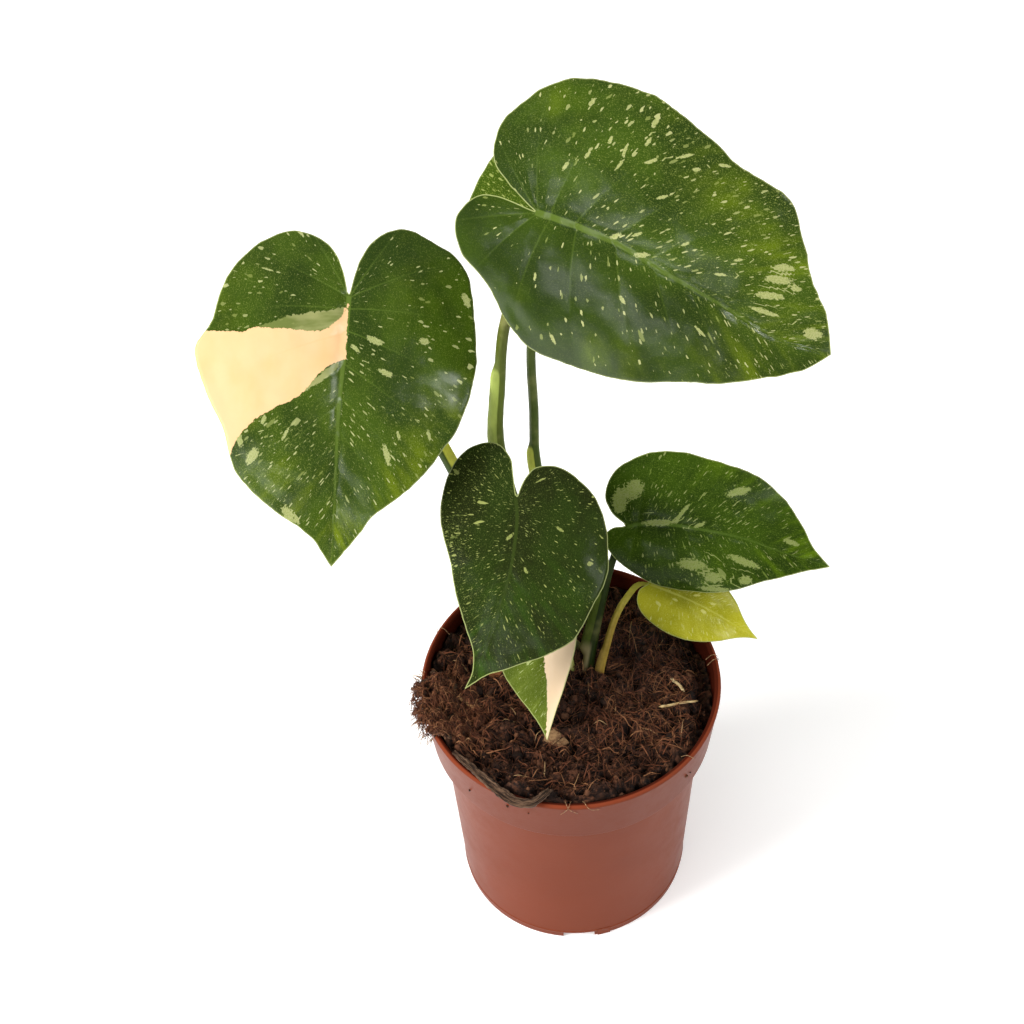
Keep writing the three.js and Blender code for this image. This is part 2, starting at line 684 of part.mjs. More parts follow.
function barkGeometry(grow = 0) {
  const curve = new THREE.CatmullRomCurve3(BARK_ROUTE.map(vec), false, 'centripetal');
  const steps = BARK_ROUTE.length * 2 - 2;
  const random = randomSource(11);
  const rings = [];
  for (let i = 0; i <= steps; i++) {
    const at = i / steps;
    const centre = curve.getPointAt(at);
    const heading = curve.getTangentAt(at);
    const across = new THREE.Vector3().crossVectors(new THREE.Vector3(0, 0, 1), heading).normalize();
    const up = new THREE.Vector3().crossVectors(heading, across);
    const place = at * (BARK_HALF_WIDTH.length - 1);
    const low = Math.min(Math.floor(place), BARK_HALF_WIDTH.length - 2);
    const even = lerp(BARK_HALF_WIDTH[low], BARK_HALF_WIDTH[low + 1], place - low);
    const width = even * lerp(0.85, 1.15, random());
    const ring = [];
    for (let j = 0; j < 8; j++) {
      const angle = 2 * Math.PI * j / 8;
      const bump = lerp(0.85, 1.25, random());
      ring.push(centre.clone().addScaledVector(across, (width + grow) * Math.cos(angle))
        .addScaledVector(up, (BARK_HALF_THICKNESS * bump + grow) * Math.sin(angle)));
    }
    rings.push(ring);
  }
  return loft(rings);
}

function slabGeometry(slab, grow = 0) {
  const shape = new THREE.Shape(slab.outline.map(([x, y]) => {
    const reach = Math.hypot(x, y);
    return new THREE.Vector2(x * (1 + grow / reach), y * (1 + grow / reach));
  }));
  const depth = slab.thickness + 2 * grow;
  const geometry = new THREE.ExtrudeGeometry(shape, { depth, bevelEnabled: false });
  geometry.translate(0, 0, -slab.thickness / 2 - grow);
  geometry.rotateX(slab.tilt);
  geometry.rotateZ(slab.turn);
  geometry.translate(...slab.centre);
  return geometry;
}

// Straight tapered rod between two points.
function rodGeometry(from, to, startRadius, endRadius, sides, grow = 0) {
  const heading = to.clone().sub(from);
  const length = heading.length() + 2 * grow;
  const geometry = new THREE.CylinderGeometry(endRadius + grow, startRadius + grow, length, sides);
  const turn = new THREE.Quaternion().setFromUnitVectors(new THREE.Vector3(0, 1, 0), heading.normalize());
  geometry.applyQuaternion(turn);
  const middle = from.clone().lerp(to, 0.5);
  geometry.translate(middle.x, middle.y, middle.z);
  return geometry;
}

function twigGeometry(twig, grow = 0) {
  const [from, to] = twig.ends.map(vec);
  return rodGeometry(from, to, twig.radius, twig.radius * TWIG_TAPER, TWIG_SIDES, grow);
}

// Potting mix

const rippleRandom = randomSource(7);
const RIPPLES = Array.from({ length: RIPPLE_COUNT }, (_, i) => {
  const heading = 2 * Math.PI * rippleRandom();
  const wavelength = lerp(...RIPPLE_WAVELENGTHS, i / (RIPPLE_COUNT - 1));
  return {
    x: Math.cos(heading) * 2 * Math.PI / wavelength,
    y: Math.sin(heading) * 2 * Math.PI / wavelength,
    phase: 2 * Math.PI * rippleRandom(),
  };
});

function mixHeight(x, y) {
  const reach = Math.hypot(x, y) / RIM_RADIUS;
  const toHeap = Math.cos(Math.atan2(y, x) - MIX_HEAP_DEG * DEG);
  const heap = MIX_HEAP * Math.max(0, toHeap) * reach * reach;
  const edge = MIX_EDGE_DROP * Math.pow(reach, MIX_EDGE_POWER) * (1 - Math.max(0, toHeap));
  const rough = RIPPLES.reduce((sum, w) => sum + Math.sin(w.x * x + w.y * y + w.phase), 0);
  return MIX_LEVEL + heap - edge + RIPPLE_HEIGHT * rough;
}

// The body fills the pot a little short of the wall, and its rough top rises towards the heap.
function mixBody() {
  const shoulder = POT_HEIGHT - COLLAR_HEIGHT;
  const edgeRadius = potInnerRadius(MIX_LEVEL - MIX_EDGE_DROP) - MIX_GAP;
  const sides = [
    [potInnerRadius(FLOOR_TOP) - FLOOR_COVE - MIX_GAP, FLOOR_TOP + GAP],
    [potInnerRadius(FLOOR_TOP + FLOOR_COVE) - MIX_GAP - GAP, FLOOR_TOP + FLOOR_COVE + GAP],
    [potInnerRadius(shoulder - SHOULDER_HEIGHT) - MIX_GAP, shoulder - SHOULDER_HEIGHT],
    [potInnerRadius(shoulder) - MIX_GAP, shoulder + GAP],
  ];
  const ringOf = (r, heightAt) => Array.from({ length: MIX_SEGMENTS }, (_, j) => {
    const angle = 2 * Math.PI * j / MIX_SEGMENTS;
    const x = r * Math.cos(angle);
    const y = r * Math.sin(angle);
    return vec([x, y, heightAt(x, y)]);
  });
  const rings = sides.map(([r, z]) => ringOf(r, () => z));
  rings.push(...MIX_RING_SHARES.map((share) => ringOf(edgeRadius * share, mixHeight)));
  return toSolid(loft(rings));
}

function lump(centre, radii, detail, random, roughness) {
  const ball = new THREE.IcosahedronGeometry(1, detail);
  ball.deleteAttribute('normal');
  ball.deleteAttribute('uv');
  const geometry = mergeVertices(ball);
  const position = geometry.attributes.position;
  for (let i = 0; i < position.count; i++) {
    const swell = 1 + roughness * (random() - 0.5);
    const point = new THREE.Vector3().fromBufferAttribute(position, i).multiplyScalar(swell);
    point.multiply(vec(radii)).add(vec(centre));
    position.setXYZ(i, point.x, point.y, point.z);
  }
  return toSolid(geometry);
}

// Thin straw lying on the mix with its root sunk in it, or null where it would cross the rim.
function fibre(random) {
  const [x, y] = placeOnMix(FIBRE_REACH, random);
  const length = lerp(...FIBRE_LENGTH, random());
  const heading = 2 * Math.PI * random();
  const z = mixHeight(x, y);
  const from = vec([x, y, z - FIBRE_ROOT]);
  const to = vec([x + length * Math.cos(heading), y + length * Math.sin(heading), z]);
  to.z += lerp(...FIBRE_RISE, random());
  if (Math.hypot(to.x, to.y) > FIBRE_REACH) {
    return null;
  }
  return toSolid(rodGeometry(from, to, FIBRE_RADIUS, FIBRE_RADIUS * 0.5, 3));
}

// Random place within reach of the pot's axis, evenly spread over the surface.
function placeOnMix(reach, random) {
  const distance = reach * Math.sqrt(random());
  const bearing = 2 * Math.PI * random();
  return [distance * Math.cos(bearing), distance * Math.sin(bearing)];
}

function makeMix() {
  const random = randomSource(23);
  let mix = mixBody().add(lump(CLUMP_CENTRE, CLUMP_RADII, 1, random, CLUMP_ROUGHNESS));
  for (let i = 0; i < CRUMB_COUNT; i++) {
    const [x, y] = placeOnMix(CRUMB_REACH, random);
    const r = lerp(...CRUMB_RADIUS, random());
    mix = mix.add(lump([x, y, mixHeight(x, y)], [r, r * 0.8, r * 0.7], 0, random, CRUMB_ROUGHNESS));
  }
  for (let i = 0; i < FIBRE_COUNT; i++) {
    const piece = fibre(random);
    mix = piece ? mix.add(piece) : mix;
  }
  const cutters = [rimGuard(), toSolid(stemGeometry(GAP)), toSolid(barkGeometry(GAP))];
  cutters.push(...LEAVES.map((leaf) => toSolid(petioleGeometry(leaf, GAP))));
  cutters.push(...SLABS.map((slab) => toSolid(slabGeometry(slab, GAP))));
  cutters.push(...TWIGS.map((twig) => toSolid(twigGeometry(twig, GAP))));
  for (const cutter of cutters) {
    mix = mix.subtract(cutter);
  }
  return toGeometry(largestPiece(mix));
}

// Assembly

const group = new THREE.Group();

function addMesh(name, geometry, color, roughness) {
  const mesh = new THREE.Mesh(geometry, new THREE.MeshStandardMaterial({ color, roughness, metalness: 0 }));
  mesh.name = name;
  group.add(mesh);
}

addMesh('pot', makePot(), 0xa8583a, 0.42);
addMesh('potting_mix', makeMix(), 0x33221a, 0.95);
addMesh('stem', stemGeometry(), 0x6d7a3c, 0.6);
for (const leaf of LEAVES) {
  addMesh(`petiole_${leaf.name}`, makePetiole(leaf), 0x5f7a38, 0.45);
  addMesh(`leaf_${leaf.name}`, bladeGeometry(leaf), leaf.color, 0.35);
}
const bark = toSolid(barkGeometry()).subtract(rimGuard());
addMesh('bark_strip', toGeometry(largestPiece(bark)), 0x5b4a3a, 0.9);
for (const slab of SLABS) {
  addMesh(slab.name, slabGeometry(slab), slab.color, 0.85);
}
for (const twig of TWIGS) {
  addMesh(twig.name, twigGeometry(twig), twig.color, 0.85);
}

export default group;
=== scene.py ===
import math
from types import SimpleNamespace

import bpy
import numpy as np
from mathutils import Matrix, Vector, noise


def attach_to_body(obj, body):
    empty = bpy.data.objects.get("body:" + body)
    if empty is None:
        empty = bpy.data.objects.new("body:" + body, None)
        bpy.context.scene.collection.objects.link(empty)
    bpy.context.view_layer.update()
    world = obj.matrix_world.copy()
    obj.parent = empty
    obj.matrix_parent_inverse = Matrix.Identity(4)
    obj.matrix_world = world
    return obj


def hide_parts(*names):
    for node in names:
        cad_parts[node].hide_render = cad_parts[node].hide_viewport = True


# Potted variegated monstera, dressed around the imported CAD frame. Sizes and places are in millimetres
# in the frame's axes, and MM turns them into metres as each mesh is made.

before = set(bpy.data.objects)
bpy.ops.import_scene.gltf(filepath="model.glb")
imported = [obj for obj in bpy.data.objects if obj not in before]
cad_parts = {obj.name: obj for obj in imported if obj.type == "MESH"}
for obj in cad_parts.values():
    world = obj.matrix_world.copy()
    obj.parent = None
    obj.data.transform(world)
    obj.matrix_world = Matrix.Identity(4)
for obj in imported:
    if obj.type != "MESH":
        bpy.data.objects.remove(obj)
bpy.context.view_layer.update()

MM = 0.001
BODY = "root"

# Camera: place in mm, tilt below the horizon and roll in degrees, focal length in the frame's pixels.
CAMERA_PLACE = (-20.6, -696.9, 1098.8)
CAMERA_TILT = 51.27
CAMERA_ROLL = -2.46
FOCAL_PIXELS = 3000
FRAME_PIXELS = 1024
SENSOR_MM = 36
FARTHEST_SEEN = 100000

# Light
WORLD_STRENGTH = 0.25
FLOOR_GLOW = 0.29
AIM = (0, 0, 180)
FLOOR_SIZE = 6000
FLOOR_WHITES = ((249, 249, 248), (252, 251, 250))
# Soft lamps: place, width and height in mm, power in watts, turn in degrees, and whether its own image
# shows as a sheen.
LAMPS = {
    "left": dict(place=(-1750, -640, 1350), size=(1200, 1200), power=66, roll=0, sheen=False),
    "overhead": dict(place=(-300, 50, 2250), size=(1300, 1300), power=13, roll=0, sheen=False),
    "right": dict(place=(1900, -300, 1100), size=(1200, 1200), power=20, roll=0, sheen=False),
    "strip": dict(place=(-1060, -1700, 1070), size=(2300, 260), power=10, roll=-13, sheen=True),
    "front_right": dict(place=(1180, -1480, 1980), size=(480, 480), power=11, roll=0, sheen=True),
}

# Pot, as in the frame
POT_HEIGHT = 120
RIM_RADIUS = 60
COLLAR_HEIGHT = 25
COLLAR_FOOT_RADIUS = 56.9
WALL_TOP_RADIUS = 52.5
FOOT_RADIUS = 46.4
WALL = 1.5
LIP_WIDTH = 2.6
SHOULDER_HEIGHT = 2.2
SHOULDER = POT_HEIGHT - COLLAR_HEIGHT
UNDER_SHOULDER = SHOULDER - SHOULDER_HEIGHT
FOOT_LINE_HEIGHT = 4.2
FOOT_LINE_RELIEF = 0.35
FLOOR_UNDERSIDE = 3.8
FLOOR_TOP = FLOOR_UNDERSIDE + WALL
PAD_RADIUS = 10
PAD_STEP = 1.2
FLOOR_COVE = 2
EDGE_EASE = 0.7
DRAIN_COUNT = 8
DRAIN_RADIUS = 4
DRAIN_RING_RADIUS = 30
DRAIN_SIDES = 40
DRAIN_CUT = (-3, 9)
NOTCH_COUNT = 4
NOTCH_WIDTH = 13
NOTCH_HEIGHT = 3.4
FIRST_NOTCH_DEG = -90
TAB_WIDTH = 5.5
TAB_RELIEF = 0.5
TAB_DEG = -77
POT_SEGMENTS = 240
LIP_STEPS = 13
SHARP_DEG = 38
POT_IOR = 1.1
POT_RED = (107, 51, 32)
POT_WARM = (114, 56, 36)
POT_FOOT = (110, 54, 37)
# Colour of the painted shade on the collar, whose face leans down away from the lamps.
POT_COLLAR_PAINTED_SHADE = (88, 38, 20)
POT_LIP = (124, 56, 34)
# Colour of the painted shade on the pot's inner face below the lip.
POT_INSIDE_PAINTED_SHADE = (66, 24, 13)
POT_SCUFF = (150, 94, 68)
POT_DUST = (84, 50, 34)

# Potting mix, as in the frame
MIX_GAP = 0.5
MIX_LEVEL = 113.6
MIX_HEAP = 3.4
MIX_HEAP_DEG = 215
MIX_EDGE_DROP = 4.5
MIX_EDGE_POWER = 8
RIPPLE_COUNT = 12
RIPPLE_SEED = 7
RIPPLE_HEIGHT = 0.55
RIPPLE_WAVELENGTHS = (34, 9)
CLUMP_CENTRE = (-54, -7.5, 117.6)
CLUMP_RADII = (10.5, 17.5, 5.2)

# Stem and blades, as in the frame
STEM_BASE = (2, 20.5, 74)
STEM_TOP = (1.6, 21.4, 117.5)
STEM_RADIUS = 4.4
STEM_OUTLINE = ((0, 0.9), (0.55, 1), (0.82, 0.94), (0.95, 0.8), (1, 0.45))
STEM_RINGS = 70
STEM_SIDES = 32
STEM_NODES = 6
STEM_MIDDLE = (1.8, 21, 96)
PETIOLE_SIDES = 24
PETIOLE_RING_STEP = 1.6
JOIN_LENGTH = 7
JOIN_THINNING = 0.5
SEAT_DROP = 0.9
SEAT_BACK = 0.3
TUCK_REACH = (15, 9)
TUCK_AHEAD = 3
CHANNEL_DEPTH = 0.1
CHANNEL_WIDTH = 0.35
WING_POWER = 7
BLADE_THICKNESS = 0.8
RIB_DEPTH = 1.5
RIB_TAPER = 0.75
SINUS_BACK = 1.5
LOBE_END = 0.06
VEIN_ADVANCE = 1.15
WAVE_RISE = 2.2
WING_TAPER = 0.35
WING_FADE = 0.035

# Each leaf, as in the frame. It hangs from attach to tip, and its upper side looks towards faces. Droop
# and cup, for the left and the right half, are curvatures in 1/mm, and fold is the lift of each half in
# radians. The margins run from the notch at the petiole to the tip, with x along the rib and y to the
# left of it. Wave is the margin's height, count and two phases. The petiole follows route, with its
# radius at the soil, the middle and the blade. Its wing points toward a side, with a width and the
# shares of the length where it starts and stops.
LEAVES = {
    "upper_right": dict(
        attach=(-7, 51, 335), tip=(95, 9, 300), faces=(-0.12, -0.79, 0.6),
        droop=0.006, fold=0.15, cup=(0.008, 0.014),
        left=[(-3, 0.4), (-14, 4), (-24, 8.5), (-28, 19), (-24, 31), (-12, 47), (2, 53.5), (20, 56),
              (40, 53), (60, 47.5), (79, 44.5), (88, 36), (98, 23), (109, 13)],
        right=[(-4, -0.3), (-14, -1.4), (-24, -5.2), (-28.5, -16), (-22, -26), (-8, -33), (4, -41.5),
               (18, -47), (34, -47), (52, -41.5), (72, -32.5), (86, -26), (98, -17.5), (111, -9)],
        rib=[(12, 2.2), (32, 4), (50, 2.5), (80, 0), (96, -1.8)],
        wave=(1.2, 4.5, (0.4, 2.1)),
        route=[(-5, 32.5, 92), (-6, 34, 113), (-15, 47, 150), (-24.5, 59, 197), (-23.2, 60.5, 233),
               (-20.2, 60.5, 267), (-9.5, 61, 306), (-4.5, 57.5, 326)],
        radius=(3.1, 2.3, 2.0), toward=(-1, -0.35, 0), wing=(2.6, 0.15, 0.6),
    ),
    "left": dict(
        attach=(-79, 82, 262), tip=(-91, 11, 187), faces=(0.08, -0.73, 0.68),
        droop=0.006, fold=0.1, cup=(0.006, 0.007),
        left=[(-2, 0.2), (-12, 2.6), (-23, 8), (-29, 18), (-25, 30), (-15, 43.5), (5, 49), (25, 50),
              (48, 44), (68, 31), (84, 14), (95, 7)],
        right=[(-2, -0.5), (-11, -3), (-20.5, -9), (-25.5, -22), (-20, -35), (-7, -46), (13, -52.5),
               (23, -58), (38, -53), (54, -44.5), (70, -39), (82, -26), (92, -10)],
        rib=[(20, -0.6), (45, -1.4), (75, -0.7)],
        wave=(1.0, 3.5, (1.3, 0.2)),
        route=[(-14, 28.5, 92), (-15, 30, 113), (-28, 48, 147), (-45, 68, 179), (-60, 81, 210),
               (-73, 88, 238), (-79.5, 87, 253)],
        radius=(3.1, 2.4, 1.9), toward=(1, -0.2, 0.4), wing=(2.4, 0.2, 0.62),
    ),
    "centre": dict(
        attach=(-19, 30, 200), tip=(-42, -20, 146), faces=(-0.24, -0.66, 0.71),
        droop=0.006, fold=0.1, cup=(0.012, 0.014),
        left=[(-2, 0.1), (-9, 1), (-14, 3.7), (-17, 12), (-12.5, 25.5), (-4, 34.5), (6, 39.5), (18, 43),
              (32, 40.5), (46, 37), (55, 28.5), (63, 16.5), (70, 7)],
        right=[(-2, -0.6), (-9, -3.9), (-15, -7.2), (-19, -14), (-16, -22.5), (-8, -28.5), (3, -30),
               (15, -27), (28, -19.5), (43, -11.5), (54, -4.5), (62, 0), (70, 1.3)],
        rib=[(6, 2.4), (20, 5.4), (34, 6.3), (54, 4.8), (66, 3.6)],
        wave=(0.7, 3.5, (0.9, 2.8)),
        route=[(-7.2, 22.4, 92), (-7.5, 24, 113), (-12, 34, 140), (-17, 39, 172), (-19.2, 37, 188)],
        radius=(2.6, 1.9, 1.5), toward=(1, -0.2, 0), wing=(1.8, 0.25, 0.5),
    ),
    "right": dict(
        attach=(25, 38, 170), tip=(105, 29, 150), faces=(0.08, -0.77, 0.64),
        droop=0.008, fold=0.08, cup=(0.008, 0.03),
        left=[(-2, 0.7), (-8, 4), (-12, 10.5), (-10.5, 20), (-2, 28.5), (10, 33.5), (28, 33.5), (46, 31),
              (57, 25), (67, 16), (76, 6)],
        right=[(-2, -0.4), (-6, -2), (-8.5, -6), (-4, -13.5), (5, -18.5), (18, -22), (30, -22),
               (45, -17), (57, -11), (70, -4.6)],
        rib=[(3, 1.6), (12, 4.2), (30, 5.8), (46, 5.6), (62, 3.2)],
        wave=(0.7, 3.5, (2.2, 0.7)),
        route=[(6.9, 11.6, 92), (7.4, 12.2, 113), (13.1, 25.8, 133), (17.9, 32.9, 152), (23.5, 40, 165)],
        radius=(3.1, 1.8, 1.2), toward=(-1, 0.15, 0.1), wing=(3, 0.29, 0.6),
    ),
    "low_right": dict(
        attach=(34, 30, 142), tip=(76, 14, 124), faces=(0.06, -0.65, 0.75),
        droop=0.012, fold=0.1, cup=(0.02, 0.02),
        left=[(-2, 1), (-6, 5), (-6, 10), (-1, 15), (10, 17), (22, 15), (31, 11), (39, 5), (44, 2)],
        right=[(-2, -1), (-3.5, -4), (-2, -9), (3, -12.5), (12, -14.3), (22, -13.6), (31, -10),
               (39, -4.5), (44, -1.7)],
        rib=[(12, 1.2), (24, 1.6), (38, 0.8)],
        wave=(0.4, 2.5, (0.3, 1.2)),
        route=[(12, 8, 92), (12, 8.4, 113), (14.6, 14, 121), (18.9, 22.2, 131), (23.2, 26.8, 137.2),
               (28.5, 31.2, 140.8), (32, 31, 141.6)],
        radius=(1.9, 1.5, 1.2), toward=(-1, 0, 0), wing=(0.9, 0.3, 0.45),
    ),
    "low_front": dict(
        attach=(-9, 17, 136), tip=(-10.7, -27.5, 119.5), faces=(-0.55, -0.28, 0.79),
        droop=0.007, fold=0.28, cup=(0.014, 0.012),
        left=[(-2, 0.5), (-6, 2.4), (-9, 7), (-8, 13), (-2, 17), (8, 17.5), (20, 14.5), (32, 9.5),
              (41, 4)],
        right=[(-2, -0.5), (-6, -2.4), (-9, -8), (-8, -14), (-2, -19), (8, -21), (18, -18),
               (27, -12.5), (35, -6.5), (42.5, -2)],
        rib=[(12, 1), (28, 1.4)],
        wave=(0.4, 2.5, (1.7, 0.5)),
        route=[(0.6, 11.4, 92), (0.2, 11.8, 113), (-2, 16.5, 124), (-6, 19.5, 131)],
        radius=(3.0, 1.9, 1.4), toward=(-0.4, -1, 0), wing=(1.2, 0.45, 0.7),
    ),
    "back": dict(
        attach=(-2, 90.5, 277), tip=(31, 155, 286), faces=(0, -0.25, 0.96),
        droop=0.006, fold=0.12, cup=(0.008, 0.008),
        left=[(-2, 0.5), (-9, 3), (-16, 8), (-19, 17), (-14, 27), (-3, 34), (10, 37), (26, 36),
              (42, 30), (56, 21), (66, 9)],
        right=[(-2, -0.5), (-9, -3), (-16, -8), (-19, -17), (-14, -27), (-3, -34), (10, -37),
               (26, -35), (42, -29), (56, -20), (66, -8)],
        rib=[(25, 1.2), (50, 0.8)],
        wave=(0.8, 3.5, (0.6, 1.9)),
        route=[(4.3, 31.5, 92), (4.5, 32.5, 113), (0.5, 48, 143), (-9.6, 66.5, 173),
               (-10.3, 73.5, 204), (-10.4, 79, 234), (-7, 88, 257), (-3.2, 93, 270)],
        radius=(2.6, 1.95, 1.7), toward=(-1, -0.2, 0), wing=(2.3, 0.15, 0.5),
    ),
}

# Lateral veins, from the notch to the tip: share of the rib where each starts, and its angle to the
# rib. The first and last only close the set and aren't drawn.
LATERAL_STARTS = (0, 0, 0, 0.04, 0.12, 0.24, 0.36, 0.48, 0.61, 0.74, 0.87, 1)
LATERAL_DEGREES = (186, 150, 118, 92, 72, 60, 50, 44, 38, 33, 29, 26)
LATERAL_SWEEP = 0.002
RIGHT_STARTS_SHIFT = 1.08
FLOW_SPACING = 10
FLOW_STRETCH = 0.23
RIGHT_SIDE_SHIFT = 137
STEPS_BETWEEN_LATERALS = 20
BLADE_STEP = 1.15

# Relief of a blade, in mm
QUILT_HEIGHT = 1.15
QUILT_WIDTH = 3.2
QUILT_RUN = 20
QUILT_LEAST = 0.15
QUILT_FADE = 0.65
QUILT_FADES_FROM, QUILT_FADES_TO = 15, 75
VALLEY_DEPTH = 0.8
VALLEY_WIDTH = 2.8
RIDGE_HEIGHT = 0.45
RIDGE_WIDTH = 0.9
UNDER_RIB_WIDTH = 1.9
LEAST_RIB_WIDTH = 0.2
UNDER_VEIN_HEIGHT = 0.35
UNDER_VEIN_WIDTH = 0.8
ROLL_HEIGHT = 0.3
ROLL_SIZE = 11
SHEET_DROP = 0.3
CALM_EDGE = 6
MIDDLE_THICKNESS = BLADE_THICKNESS - 0.15
EDGE_THICKNESS = 0.28
EDGE_ROUND = 1.6
EDGE_RIPPLE = 0.0045
RIPPLE_SIZE = 9
# Depth in mm outside a zone, and distance in radii from a fleck, at which neither shows
FAR = 9.0
